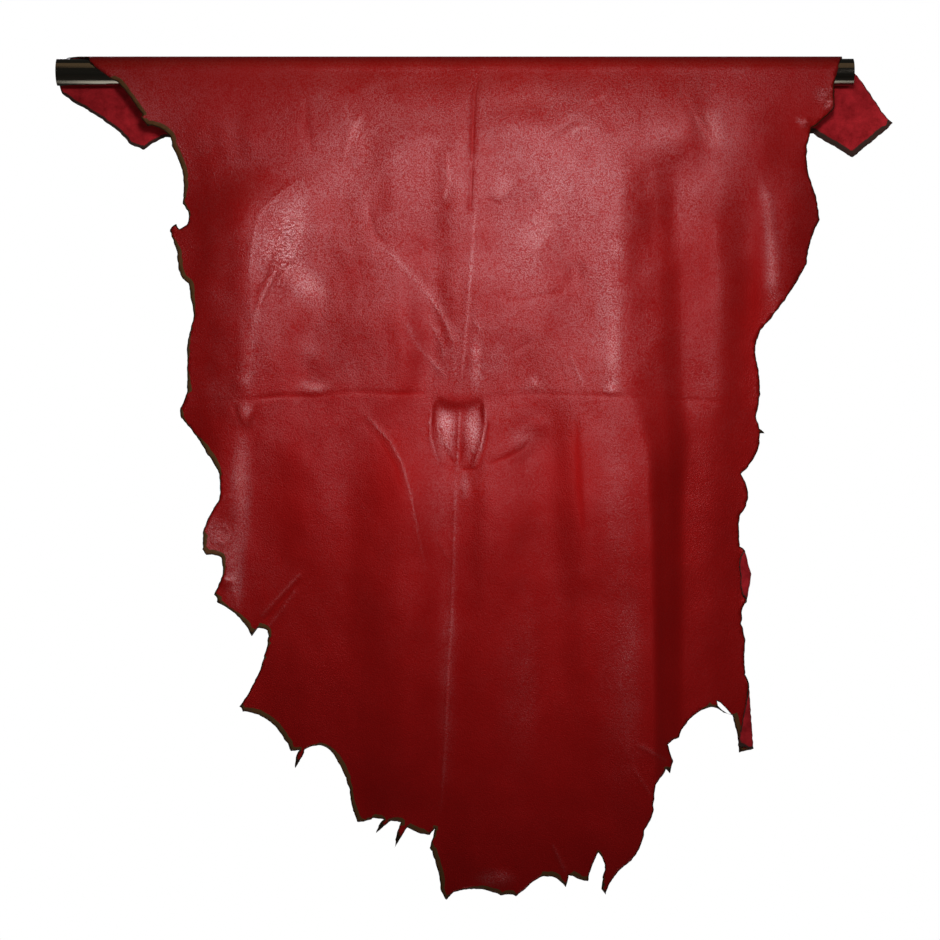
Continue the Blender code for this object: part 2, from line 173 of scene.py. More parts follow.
RIGHT_EDGE = (
    # x, z, bow
    (696, -684, 0.0),
    (728, -677, 0.0),
    (709, -620, 0.0),
    (702, -606, 0.0),
    (701, -590, 0.0),
    (702, -570, 0.0),
    (698, -554, 0.0),
    (699, -538, 0.0),
    (707, -530, 2.0),
    (721, -506, 2.0),
    (708, -484, 0.0),
    (696, -477, 0.0),
    (695, -455, 0.0),
    (696, -446, 8.0),
    (697, -404, 3.0),
    (716, -373, 0.0),
    (716, -364, 0.0),
    (721, -363, 0.0),
    (716, -358, 0.0),
    (712, -346, 4.0),
    (712, -290, -3.0),
    (718, -258, 2.5),
    (763, -193, -2.5),
    (776, -149, 1.5),
    (766, -109, -4.5),
    (767, -58, 1.0),
    (789, -38, 0.0),
    (789, -14, 0.0),
)

BACK_EDGE = (
    # x, z, bow
    (800, 14, 0.0),
    (821, -7, 0.0),
    (834, -26, -1.0),
    (852, -49, 0.0),
    (848, -54, 0.0),
    (812, -84, 0.0),
    (772, -60, -3.0),
    (700, -69, 3.0),
    (410, -75, 3.0),
    (117, -63, -1.0),
    (95, -76, 0.0),
    (82, -71, 0.0),
    (68, -56, 0.0),
    (45, -40, 0.8),
    (13, -20, 0.0),
    (10, -12, 0.0),
    (7, 12, 0.0),
)

# Edges rolled to the front, so that the flesh side shows: the line where each roll starts.
ROLLS = (
    # x_top, z_top, x_end, z_end
    (702, -607, 708, -692),
    (697, -477, 705, -506),
    (705, -506, 699, -538),
)
ROLL_RADIUS = 2.6
ROLL_RUN = math.pi * ROLL_RADIUS  # leather taken up by the half turn
NO_ROLL = 1e6  # the start where there is no roll: far out

# The slit near the lower right corner, as x, z points round its rim.
SLIT = ((673, -632), (677, -634), (683, -640), (688, -646), (684, -645), (678, -641), (674, -637))

# Painted shadow: an olive strip painted beside the cut where the edge faces the slant, for the shadow that
# the hide casts below such edges.
SHADOW_SLANT = Vector((-0.66, 0.75))  # in x and drop: to the left and down
PAINTED_SHADOW_WIDTH = 4.6  # its width where the edge faces the slant squarely
FLAP_SHADOW_WIDTHS = (2.2, 4.6)  # and under the left and the right flap
STRIP_FROM = 0.3  # how squarely the edge faces the slant where the strip starts, 0 to 1
PAINTED_SHADOW_RISE = 0.5  # and how much more until it is at its widest
FLAP_STRIP_RISE = 0.3  # the same on the flaps
STRIP_PATCHES = (40.0, 0.8, 1.4, 2.0)  # its uneven width: wavelength, mean, swing, layer of the noise
# the strip here is the painted shadow, and the cut's dark line is partly painted shade
BAR_ZONE = 8.0  # no strip shows on the bar and down to here, and the cut's dark line is thinner
THINNER_CUT = 0.8  # by this much

# Raggedness of the cut: wavelength, height, and the layers of the noise for x and for drop.
FRAYS = (
    (5.0, 0.9, (3.0, 9.0)),
    (1.7, 0.35, (5.0, 8.0)),
)

# ---------------------------------------------------------------- how the front panel hangs (mm)
# Soft upright folds: each is a line down the panel, and between two lines the leather runs
# smoothly from the one's stand-out to the other's. Rows are x, z, out, from the top down, and
# the lines are listed from left to right.
FOLD_LINES = (
    # left rim, outside the edge
    ((60, 0, 0), (80, -60, -6), (105, -110, -14), (116, -200, -8), (120, -330, -7), (130, -390, -5),
     (122, -430, 5), (120, -470, 14), (120, -505, 19), (124, -550, 10), (140, -640, -12),
     (150, -760, -14)),
    # left ridge
    ((257, 0, 0), (250, -60, 0), (236, -105, 1), (214, -140, 5), (206, -190, 7.5), (202, -250, 6.5),
     (197, -325, 3.5), (192, -370, 3.5), (182, -430, 5.5), (178, -530, 5.5), (190, -640, 2),
     (205, -740, -1)),
    # its foot
    ((282, 0, 0), (278, -60, 0.5), (270, -100, 1.2), (262, -140, 2.2), (255, -190, 2.0),
     (240, -250, 2.5), (232, -325, 0.8), (212, -370, 1.6), (211, -430, 3.2), (211, -530, 3.0),
     (222, -640, -1.5), (236, -740, -4)),
    # the broad left field
    ((300, 0, 0), (302, -95, 1), (290, -190, 0), (277, -250, -1.2), (262, -325, -0.8),
     (260, -370, 3), (262, -430, 5.4), (262, -530, 5.4), (266, -640, 2.0), (272, -740, -1)),
    ((345, 0, 0), (345, -95, 2), (350, -190, 1.6), (352, -250, 2.8), (345, -325, 2.2),
     (303, -370, 3.2), (300, -430, 6.4), (300, -530, 6.4), (305, -640, 3.0), (312, -740, -0.6)),
    ((385, 0, 0), (385, -95, 1.2), (387, -190, -2.4), (389, -250, -2.4), (383, -325, -1.0),
     (365, -370, 4.6), (361, -430, 13.4), (360, -530, 13.8), (360, -640, 10), (356, -740, 4)),
    # the upright crease
    ((418, 0, 0), (413, -95, 3.2), (412, -190, 0.2), (411, -250, -0.2), (406, -325, -0.9),
     (408, -370, 2.4), (410, -430, 8.0), (406, -530, 8.2), (402, -640, 5.0), (396, -740, 0)),
    ((434, 0, 0), (427, -95, 2.4), (424, -190, 0.6), (420, -250, 0), (418, -325, -0.4),
     (420, -370, 3), (421, -430, 8.6), (416, -530, 8.6), (412, -640, 5.4), (406, -740, 0.8)),
    ((452, 0, 0), (441, -95, 2.6), (440, -190, 0.6), (438, -250, 0.4), (437, -325, 0.4),
     (440, -370, 5), (446, -430, 11.6), (441, -530, 11.2), (437, -640, 7.6), (430, -740, 3)),
    # the middle field
    ((500, 0, 0), (495, -95, 1.2), (495, -190, -0.8), (495, -250, -0.8), (498, -325, -0.4),
     (503, -370, 1.2), (503, -430, 6.2), (508, -530, 7.0), (505, -640, 5), (500, -740, 2)),
    ((530, 0, 0), (528, -95, 0.9), (528, -190, -2.8), (530, -250, -2.8), (530, -325, 1.4),
     (536, -370, 5.6), (540, -430, 11.6), (545, -530, 11.6), (548, -640, 8.6), (548, -740, 4)),
    ((550, 0, 0), (548, -95, 0.7), (547, -190, -2), (550, -250, -1.8), (552, -325, 1.8),
     (560, -370, 6.6), (565, -430, 11.6), (568, -530, 11.6), (570, -640, 8.5), (572, -740, 4.6)),
    # ridge beside the deep fold
    ((585, 0, 0), (572, -95, 0.5), (572, -190, -1.3), (572, -250, -1.0), (577, -325, 2.4),
     (595, -370, 7.2), (602, -430, 12), (605, -530, 12.2), (607, -640, 9), (607, -740, 5),
     (606, -840, 2)),
    # the deep fold
    ((612, 0, 0), (610, -68, -1), (609, -95, -3.6), (611, -190, -7), (613, -250, -7),
     (616, -325, -5), (620, -370, 0), (620, -430, 3), (620, -530, 3), (620, -640, 1),
     (621, -740, -1), (620, -840, -3)),
    ((640, 0, 0), (640, -68, -1.6), (636, -95, -6.0), (638, -190, -12), (639, -250, -13),
     (641, -325, -12.5), (644, -370, -11), (640, -430, -9), (640, -530, -9), (640, -640, -9.5),
     (641, -740, -7)),
    # the strip behind it
    ((665, 0, 0), (666, -95, -6.2), (670, -190, -12.6), (671, -250, -14), (670, -325, -14),
     (666, -370, -13.5), (664, -430, -11.5), (664, -530, -11.5), (664, -640, -12)),
    # hollow
    ((690, 0, 0), (692, -95, -7.5), (706, -190, -19), (702, -250, -20), (700, -325, -20),
     (699, -370, -19.5), (699, -430, -18.5), (699, -530, -19), (699, -640, -19)),
    # low ridge beside the right rim
    ((750, 0, 0), (748, -60, -8.5), (745, -95, -13), (738, -140, -16), (734, -190, -20),
     (735, -250, -22), (728, -325, -23), (725, -430, -21.5), (725, -640, -22)),
    # right rim, outside the edge
    ((840, 0, 0), (815, -60, -12), (800, -110, -24), (790, -200, -33), (775, -300, -33),
     (750, -400, -28), (745, -640, -25)),
)

# The whole panel's stand-out, above and below the level crease, where it bends.
LEVEL_CREASE_Z = -324.0
LEVEL_CREASE = ((100, -334), (187, -331), (240, -327), (313, -323), (391, -323), (485, -324),
                (575, -327), (645, -330), (700, -335))
LEAN_ABOVE = ((0, 0), (-20, 3.8), (-60, 8.8), (-110, 11), (-160, 12), (-230, 12.2), (-280, 11.3),
              (LEVEL_CREASE_Z, 10))
LEAN_BELOW = ((LEVEL_CREASE_Z, 10), (-350, 8.2), (-430, 4), (-530, 2), (-640, 1), (-740, 0), (-840, -1))

# Creases: width to each side, height (below zero for a groove), and the line as x, z points.
CREASES = (
    # width, height, line
    # the upright crease
    (5.0, -0.9, ((434, -3), (430, -20), (428, -50), (427, -94))),
    (4.0, -0.55, ((427, -94), (426, -120), (425, -147))),
    (3.4, 0.36, ((432, -127), (429, -160), (426, -200), (422, -250), (416, -319))),
    (2.0, -0.24, ((429, -200), (425, -250), (419, -319))),
    (3.0, 0.55, ((411, -402), (410, -452), (407, -548), (404, -590), (401, -670), (396, -742))),
    # the level crease
    (3.0, -0.3, ((145, -333), (169, -331), (187, -331), (213, -329), (240, -326))),
    (3.4, -0.45, ((213, -329), (240, -326), (268, -326), (313, -322), (350, -324), (391, -323))),
    (3.0, -0.25, ((440, -326), (485, -324), (532, -325), (575, -327))),
    (3.0, -0.35, ((540, -325), (575, -327), (602, -328), (645, -330), (678, -332), (688, -340))),
    # the pocket
    (2.4, 0.4, ((388, -336), (385, -353), (386, -368), (394, -394))),
    (2.4, 0.45, ((438, -334), (441, -355), (436, -375), (428, -397))),
    (2.2, 0.45, ((415, -338), (414, -360), (412, -398))),
    (2.2, -0.3, ((418, -340), (417, -360), (415, -396))),
    (2.8, -0.5, ((445, -350), (441, -375), (433, -398))),
    (2.5, -0.5, ((390, -350), (398, -378), (409, -394))),
    (2.2, -0.4, ((416, -399), (433, -400))),
    # round the loose patch on the left
    (5.0, 0.25, ((253, -112), (235, -126), (217, -144), (211, -162), (208, -185), (207, -215))),
    (2.4, -0.6, ((233, -180), (228, -202), (214, -228), (208, -246))),
    (2.4, 0.4, ((236, -184), (231, -205), (218, -230), (212, -246))),
    (2.0, -0.3, ((241, -214), (239, -237))),
    (2.0, -0.35, ((231, -212), (240, -200), (262, -187))),
    (9.0, 0.3, ((214, -228), (207, -280), (204, -319))),
    # upper left
    (4.0, -0.25, ((259, -32), (261, -74))),
    (6.0, 0.3, ((318, -42), (307, -64), (299, -92))),
    (4.0, -0.3, ((262, -30), (264, -60), (268, -86))),
    (3.0, -0.3, ((325, -131), (326, -152), (332, -168), (345, -178))),
    (6.0, 0.3, ((345, -184), (375, -214), (391, -236))),
    (3.6, 0.4, ((388, -231), (397, -246), (404, -262), (409, -275))),
    (5.0, 0.3, ((360, -250), (375, -279), (402, -309))),
    (3.0, 0.25, ((384, -250), (396, -272), (400, -290))),
    (3.4, 0.3, ((402, -82), (404, -110), (399, -131))),
    (9.0, -0.2, ((326, -22), (355, -15), (385, -11), (425, -9))),
    # upper right
    (3.6, -0.4, ((441, -129), (454, -136), (470, -126))),
    (5.0, -0.4, ((504, -71), (520, -58), (535, -48))),
    (3.4, 0.3, ((527, -63), (535, -58), (543, -60))),
    (2.5, 0.25, ((543, -32), (561, -25))),
    (3.4, -0.3, ((455, -215), (457, -223), (462, -233), (480, -230), (525, -221))),
    (2.5, 0.32, ((429, -251), (436, -261))),
    (2.2, -0.25, ((467, -283), (488, -271))),
    (2.6, 0.24, ((525, -285), (538, -316))),
    (2.6, -0.24, ((513, -290), (521, -315))),
    (3.5, -0.2, ((625, -4), (635, -22), (645, -45), (658, -68))),
    (3.4, 0.3, ((650, -44), (664, -68))),
    (11.0, 0.55, ((718, -112), (725, -150), (728, -180), (730, -225))),
    (1.8, 0.5, ((752, -48), (764, -56))),
    # under the level crease, on the left
    (2.5, -0.36, ((189, -334), (198, -357))),
    (2.5, -0.3, ((215, -334), (209, -352))),
    (3.0, -0.15, ((313, -344), (338, -374), (351, -396), (358, -422))),
    (2.5, 0.32, ((316, -340), (345, -371), (358, -394), (365, -420), (381, -499))),
    (1.8, 0.4, ((176, -428), (190, -425))),
    (1.8, 0.4, ((160, -480), (168, -482), (177, -481))),
    (2.2, 0.4, ((177, -507), (184, -509), (191, -513))),
    (2.4, 0.3, ((190, -518), (194, -541))),
    (2.2, 0.4, ((173, -455), (183, -457), (186, -465), (180, -474), (172, -471))),
    # under the pocket
    (2.2, 0.24, ((392, -467), (405, -491))),
    (4.5, -0.4, ((444, -394), (460, -388), (478, -379), (485, -370))),
    (7.0, -0.4, ((531, -346), (534, -420), (538, -467))),
    # lower left
    (3.0, 0.6, ((216, -546), (236, -524), (257, -502))),
    (3.0, 0.5, ((221, -560), (240, -536), (252, -518))),
    (3.0, -0.7, ((219, -552), (239, -529), (257, -508))),
    # lower right
    (3.4, 0.5, ((592, -673), (623, -691))),
    (2.5, 0.35, ((588, -697), (605, -723))),
    (2.5, 0.4, ((507, -773), (521, -804))),
)
CREASE_FADE = 0.2  # a crease fades out over about this share of its length at each end
CREASE_END = 0.25  # and this is left of its height in its end points, before smoothing
RELIEF_START = 14.0  # creases and bumps have their full height from this far below z = 0

# Bumps and hollows: centre, half lengths, turn in degrees, height.
BUMPS = (
    # x, z, half_x, half_z, turn, height
    (456, -118, 22, 28, 0, 0.8),
    (497, -160, 30, 56, -10, 0.8),
    (548, -130, 18, 20, 0, 0.5),
    (531, -205, 13, 22, 0, -1.0),
    (355, -150, 30, 50, 10, 0.8),
    (383, -200, 18, 20, 30, 0.6),
    (268, -320, 24, 11, 0, 1.1),
    (197, -314, 13, 13, 0, 0.8),
    (272, -286, 16, 18, 0, 0.6),
    (431, -288, 8, 17, 0, 0.6),
    (490, -316, 6, 7, 0, 0.6),
    (566, -322, 8, 8, 0, 0.7),
    (485, -52, 40, 24, 0, 0.6),
    (470, -84, 22, 18, 0, 0.5),
    (785, -33, 15, 9, 55, 3.0),
    (762, -52, 9, 5, -20, 1.8),
    (201, -346, 13, 16, 0, 1.4),
    (174, -470, 9, 13, 0, 1.0),
    (182, -512, 7, 8, 0, 1.5),
    (472, -376, 24, 18, 20, 1.0),
    (494, -356, 18, 13, 0, 0.7),
    (421, -421, 6, 13, 0, 0.6),
    (458, -810, 16, 14, 0, 1.5),
)

# The pocket pushed in where the two long creases cross: rows down its middle line.
POCKET_TOP = -325.0
POCKET_FOOT = -401.0
POCKET = (
    # share of the way down, x of the middle, half width, wall width
    (0.0, 414.0, 25.0, 5.0),
    (0.3, 413.5, 27.0, 5.0),
    (0.6, 413.0, 25.0, 5.0),
    (0.85, 412.5, 20.0, 5.0),
    (1.0, 412.0, 16.0, 5.0),
)
POCKET_SAG = 7.0  # how much lower its top rim is in the middle than at the sides
# Stand-out of the pocket's floor down its height: it tips up and out towards its foot.
POCKET_FLOOR = ((0.0, 0.0), (0.1, -1.7), (0.4, -0.9), (1.0, -0.3))

# Loose leather that wrinkles finely: centre, half lengths, turn in degrees, how much.
LOOSE = (
    # x, z, half_x, half_z, turn, amount
    (240, -185, 34, 80, -14, 1.0),
    (275, -300, 40, 34, 0, 0.6),
    (182, -460, 30, 50, 0, 0.9),
    (781, -30, 26, 22, 0, 1.0),
    (500, -150, 60, 90, 0, 0.5),
    (430, -300, 60, 40, 0, 0.6),
    (480, -365, 50, 30, 0, 0.5),
    (655, -50, 24, 34, 0, 0.6),
    (600, -700, 30, 30, 0, 0.5),
    (370, -150, 60, 80, 0, 0.35),
)

# Fine slack in the leather: wavelengths across and along, and height.
SLACK = (
    # across, along, height
    (70, 100, 1.5),
    (34, 46, 0.75),
    (16, 22, 0.28),
    (9, 12, 0.07),
)
SLACK_LAYER = 7.3  # from one row's layer of the noise to the next
SLACK_START = 90.0  # and the slack from this far

# Where the glaze is stronger or weaker: centre, half lengths, turn in degrees, how much. Where it is
# strongest, the grain's colour is painted paler too, a painted highlight.
GLOSS = (
    # x, z, half_x, half_z, turn, amount
    # less at both upper corners and along the right
    (170, -30, 130, 80, 0, -0.9),
    (250, -70, 90, 50, 0, -0.4),
    (762, -40, 110, 90, 0, -1.4),
    (787, -35, 10, 9, 0, 5.0),
    (778, -24, 14, 10, 0, 1.6),
    (758, -52, 10, 6, -30, 0.8),
    (640, -190, 36, 150, 0, -0.55),
    (706, -260, 36, 120, 0, -0.9),
    (735, -120, 46, 90, 0, -0.5),
    (713, -170, 18, 120, 0, -0.7),
    (664, -190, 18, 120, 0, -0.5),
    (730, -192, 9, 44, 3, 1.0),
    # the glossy patch on the left, also painted paler there: a painted highlight
    (240, -172, 34, 66, -14, 2.2),
    (250, -160, 22, 40, -14, 1.0),
    (260, -212, 48, 22, -45, 1.9),
    (262, -285, 20, 24, 0, 0.9),
    (270, -317, 22, 10, 0, 1.8),
    (313, -68, 12, 40, 24, 0.8),
    (401, -108, 8, 34, 0, 0.8),
    (202, -280, 10, 60, 0, 1.4),
    (176, -200, 26, 90, 0, 0.9),
    (180, -310, 26, 60, 0, 1.0),
    # round the upright crease
    (520, -120, 90, 120, 0, 0.6),
    (480, -30, 60, 24, 0, 0.5),
    (498, -150, 32, 64, -8, 1.1),
    (456, -118, 18, 26, 0, 0.6),
    (568, -285, 11, 60, 0, 1.0),
    (566, -318, 12, 8, 0, 1.4),
    (662, -58, 22, 36, 20, 1.4),
    (480, -180, 40, 60, 0, 0.6),
    (431, -292, 9, 34, 0, 2.8),
    (570, -178, 10, 14, 0, 0.8),
    (489, -311, 7, 9, 0, 1.6),
    (412, -290, 10, 50, 0, 0.8),
    (564, -240, 20, 130, 0, 0.7),
    # dull between them
    (364, -290, 40, 90, 0, -0.5),
    (250, -290, 28, 60, 0, -0.5),
    # the crossing and the pocket
    (401, -360, 15, 36, 0, 2.8),
    (428, -364, 14, 38, 0, 2.8),
    (413, -328, 34, 8, 0, -0.5),
    (478, -368, 24, 18, 20, 0.9),
    (490, -318, 20, 14, 0, 0.7),
    (452, -290, 26, 26, 0, 0.6),
    (200, -346, 13, 18, 0, 2.0),
    (174, -474, 22, 34, 0, 3.2),
    # crests of the lower folds
    (197, -420, 14, 90, 0, 2.6),
    (190, -500, 14, 70, 0, 2.2),
    (420, -416, 6, 20, 0, 1.3),
    (570, -440, 22, 130, 0, 0.5),
    (583, -580, 18, 150, 0, 0.9),
    (575, -630, 32, 150, 0, 0.6),
    (450, -808, 26, 12, 0, 2.5),
    (470, -640, 26, 110, 0, 0.5),
    (396, -450, 18, 60, 0, 0.5),
    (402, -600, 14, 150, 0, 1.0),
    (483, -600, 16, 110, 0, 0.5),
    # their dull sides
    (250, -430, 30, 110, 0, -0.3),
    (345, -400, 50, 110, 0, -0.4),
    (520, -400, 44, 80, 0, -0.3),
)
GLOSS_DOWN = ((0, 1.4), (-25, 1.7), (-60, 1.6), (-150, 1.25), (-220, 1.1), (-300, 1.0), (-360, 0.62),
              (-440, 0.42), (-540, 0.3), (-640, 0.16), (-840, 0.08))
# crests get more glaze, and where it grows strongest they are painted paler: a painted highlight
CREST_GLOSS = 3.2  # for each mm that a crease stands up
GROOVE_GLOSS = 1.0  # and for each mm of its depth
MOST_GLOSS = 4.0

# ---------------------------------------------------------------- mesh (mm)
EDGE_STEP = 2.0  # between the points of the cut edge
CREASE_STEP = 3.2  # between the points along a crease
CREASE_ROWS = (-0.7, -0.35, 0.0, 0.35, 0.7)  # where its rows of points run, as shares of its width
CREASE_GAP = 1.3  # least gap between the points of the creases
CREASE_CLEAR = 1.6  # least gap from them to the cut edge
GRID_GAP = 0.62  # least gap from the other points to those of the creases, in mesh steps
GRID_CLEAR = 0.45  # and to the cut edge
ROW_CLEAR = 0.4  # and to the ends of their row
MERGE_GAP = 1e-5  # the triangulation joins points that are closer
INSIDE_ONLY = 1  # the kind of triangulation that leaves out what lies outside the cut edge
UV_MARGIN = 50.0  # keeps the flat layout above zero

# ---------------------------------------------------------------- patterns of the finishes (mm)
# Pores, fibres and drawing lines are drawn coarser than real ones, which are too fine to show.
BLOTCHES = 71.4  # clouds in the dye
PEBBLES = 1.2  # of the grain
PORES = 1.6
GRAIN_DEPTH = 0.3  # and of the wrinkles
WRINKLES = 7.0
WRINKLE_TURN = -35.0  # degrees
WRINKLE_STRETCH = (1.0, 1.9, 1.0)
CLOUDS = 30.0  # in the glaze
NAP = 16.67  # brushed patches of the nap
FIBRES = 1.2
NAP_DEPTH = 0.5
CUT_FIBRES = 2.0
DRAWN_LINES = (167.0, 1.11, 1.11)  # length of a drawing line, and its spacing both ways across
LINE_DEPTH = 0.05
MOTTLE = 333.0  # of the floor's paint

# ---------------------------------------------------------------- stage (m, degrees)
FLOOR_SIDE = 5.0
FLOOR_Z = -1.45
VIEW_X = 0.415  # where the camera looks at the panel
VIEW_Z = -0.400
VIEW_SIDE = 0.94  # what it takes in there, from side to side
SENSOR = 36.0  # mm
LAMP_COLOUR = (1.0, 0.96, 1.02)
ROOM_COLOUR = (1.0, 0.98, 0.96, 1.0)
SPOTS = (
    # name, place, target, radius, angle of its beam, the setting of its power, share of that
    ("sheen", (0.52, -1.6, 0.08), (0.44, 0.0, -0.25), 0.14, 44.5, "key_power", 1.0),
    ("side", (1.89, -1.5, 0.35), (0.49, 0.0, -0.26), 0.30, 60.0, "side_power", 1.0),
    ("right_flap", (1.24, -1.5, 0.1), (0.85, 0.0, -0.045), 0.05, 5.2, "flap_power", 1.0),
    ("left_flap", (-0.7, -1.5, 0.0), (0.06, 0.0, -0.045), 0.05, 4.6, "flap_power", 0.3),
    ("low", (1.2, -1.6, -0.5), (0.57, 0.0, -0.69), 0.14, 14.0, "side_power", 2.0),
    ("back", (-0.61, 2.0, 0.6), (0.41, 0.0, -0.4), 0.4, 80.0, "back_power", 1.0),
)
# Cards that only the polished bar mirrors: a bright one below, and a dim, warm one above.
CARDS = (
    # name, place, sides, turn about x, colour, share of the card power
    ("low_card", (0.41, 0.38, -1.35), (1.2, 0.9), math.pi, (1.0, 1.0, 1.0), 1.0),
    ("high_card", (0.41, -1.1, 1.2), (1.4, 1.6), 0.0, (1.0, 0.68, 0.42), 0.3),
)


# ---------------------------------------------------------------- small curves
def smooth(t):
    """0 to 1 with a soft start and end."""
    t = np.clip(t, 0.0, 1.0)
    return t * t * (3.0 - 2.0 * t)


def bell(t):
    """1 in the middle and 0 from t = 1 on."""
    return 0.5 + 0.5 * np.cos(np.pi * np.clip(np.abs(t), 0.0, 1.0))


def ridge(t):
    """Like bell(), with a sharp top."""
    t = np.clip(np.abs(t), 0.0, 1.0)
    return (1.0 - t) ** 2 * (1.0 + t)


def through(knots, values, t):
    """Smooth curve through the values at rising knots."""
    knots = np.asarray(knots, float)
    values = np.asarray(values, float)
    slopes = np.gradient(values, knots)
    i = np.clip(np.searchsorted(knots, t) - 1, 0, len(knots) - 2)
    gap = knots[i + 1] - knots[i]
    u = np.clip((t - knots[i]) / gap, 0.0, 1.0)
    start, end = slopes[i] * gap, slopes[i + 1] * gap
    cubic = (2 * u ** 3 - 3 * u ** 2 + 1) * values[i] + (u ** 3 - 2 * u ** 2 + u) * start
    return cubic + (3 * u ** 2 - 2 * u ** 3) * values[i + 1] + (u ** 3 - u ** 2) * end


def down_curve(rows, z):
    """Smooth curve through rows of z and value, listed from the top down."""
    return through([-row[0] for row in rows], [row[1] for row in rows], -z)


# ---------------------------------------------------------------- relief of the front panel
def fold_relief(x, z):
    """Stand-out of the upright folds."""
    places = np.array([down_curve([(row[1], row[0]) for row in line], z) for line in FOLD_LINES])
    outs = np.array([down_curve([(row[1], row[2]) for row in line], z) for line in FOLD_LINES])
    gaps = np.maximum(np.diff(places, axis=0), 1.0)
    rises = np.diff(outs, axis=0) / gaps
    # level on a crest or in a hollow, and otherwise between the slopes on both sides
    product = rises[1:] * rises[:-1]
    same_way = product > 0.0
    mean = np.where(same_way, 2.0 * product / np.where(same_way, rises[1:] + rises[:-1], 1.0), 0.0)
    level = np.zeros((1, x.size))
    slopes = np.vstack((level, mean, level))
    total = np.where(x < places[0], outs[0], outs[-1])
    for i, gap in enumerate(gaps):
        t = np.clip((x - places[i]) / gap, 0.0, 1.0)
        curve = (outs[i] + (outs[i + 1] - outs[i]) * t * t * (3.0 - 2.0 * t)
                 + gap * t * (1.0 - t) * (slopes[i] * (1.0 - t) - slopes[i + 1] * t))
        total = np.where((x >= places[i]) & (x < places[i + 1]), curve, total)
    return total


def lean(x, z):
    """Stand-out of the whole panel, with its bend along the level crease."""
    bend = through(*zip(*LEVEL_CREASE), x)
    level = z - (bend - LEVEL_CREASE_Z) * smooth(z / LEVEL_CREASE_Z)
    return np.where(level > LEVEL_CREASE_Z, down_curve(LEAN_ABOVE, level), down_curve(LEAN_BELOW, level))


def line_distance(x, z, points):
    """Distance to a line of points, and how far along it, 0 to 1."""
    lengths = [math.dist(a, b) for a, b in zip(points, points[1:])]
    nearest = np.full(x.shape, np.inf)
    along = np.zeros(x.shape)
    done = 0.0
    for (ax, az), (bx, bz), length in zip(points, points[1:], lengths):
        t = ((x - ax) * (bx - ax) + (z - az) * (bz - az)) / length ** 2
        t = np.clip(t, 0.0, 1.0)
        gap = np.hypot(x - ax - (bx - ax) * t, z - az - (bz - az) * t)
        closer = gap < nearest
        nearest = np.where(closer, gap, nearest)
        along = np.where(closer, (done + t * length) / sum(lengths), along)
        done += length
    return nearest, along


def crease_relief(x, z):
    """Height of the creases, each fading out towards its two ends."""
    total = np.zeros(x.shape)
    for width, height, points in CREASES:
        gap, along = line_distance(x, z, points)
        ends = [smooth(share / CREASE_FADE + CREASE_END) for share in (along, 1.0 - along)]
        total += height * ridge(gap / width) * (ends[0] * ends[1])
    return total


def mound(x, z, centre_x, centre_z, half_x, half_z, turn):
    """1 in the middle of an ellipse and 0 from its rim on."""
    cos, sin = math.cos(math.radians(turn)), math.sin(math.radians(turn))
    dx, dz = x - centre_x, z - centre_z
    return bell(np.hypot((dx * cos + dz * sin) / half_x, (dz * cos - dx * sin) / half_z))


def bump_relief(x, z):
    """Height of the bumps and hollows."""
    return sum(height * mound(x, z, *place) for *place, height in BUMPS)


def looseness(x, z):
    """How loose and wrinkled the leather is, 0 to 1."""
    return np.maximum.reduce([amount * mound(x, z, *place) for *place, amount in LOOSE])


def glossiness(x, z):
    """The glaze's strength against its strength on the plain field, which is 1."""
    patches = sum(amount * mound(x, z, *place) for *place, amount in GLOSS)
    creases = crease_relief(x, z)
    creases = creases * np.where(creases > 0.0, CREST_GLOSS, GROOVE_GLOSS)
    return np.clip(down_curve(GLOSS_DOWN, z) + patches + creases, 0.0, MOST_GLOSS)


def pocket_relief(x, z):
    """Depth of the pocket's floor, which rises to the panel over the width of its wall."""
    shares, middles, halves, walls = zip(*POCKET)
    down = np.clip((POCKET_TOP - z) / (POCKET_TOP - POCKET_FOOT), 0.0, 1.0)
    half = through(shares, halves, down)
    aside = (x - through(shares, middles, down)) / half
    top = POCKET_TOP - POCKET_SAG * (1.0 - np.clip(np.abs(aside), 0.0, 1.0) ** 2)
    share = (top - z) / (top - POCKET_FOOT)
    inside_pocket = (share > 0.0) & (share < 1.0)
    floor = through(*zip(*POCKET_FLOOR), np.clip(share, 0.0, 1.0))
    wall = smooth((1.0 - np.abs(aside)) * half / through(shares, walls, down))
    return np.where(inside_pocket, floor * wall, 0.0)


def slack_relief(x, z):
    """Low, soft waves that no fold line gives."""
    total = np.zeros(x.shape)
    for octave, (across, along, height) in enumerate(SLACK):
        waves = [noise.noise((a / across, b / along, octave * SLACK_LAYER)) for a, b in zip(x, z)]
        total += height * np.array(waves)
    return total


def front_relief(x, z):
    """How far the front panel stands out from the plane just in front of the bar."""
    started = smooth(-z / RELIEF_START)
    soft = bump_relief(x, z) * started + slack_relief(x, z) * smooth(-z / SLACK_START)
    return fold_relief(x, z) + lean(x, z) + crease_relief(x, z) * started + pocket_relief(x, z) + soft


# ---------------------------------------------------------------- from the flat to the hanging sheet
def drop_of(z, side):
    """Way along the leather from the crest to height z: side 1 is the front, -1 the back."""
    if z > 0.0:
        return side * WRAP_RADIUS * math.acos(min(z / WRAP_RADIUS, 1.0))
    return side * (QUARTER_WRAP - z)


def roll_start(z):
    """Where the leather starts to roll at each height: far out where it doesn't."""
    start = np.full(z.shape, NO_ROLL)
    for x_top, z_top, x_end, z_end in ROLLS:
        line = x_top + (x_end - x_top) * (z_top - z) / (z_top - z_end)
        start = np.where((z <= z_top) & (z >= z_end), line, start)
    return start


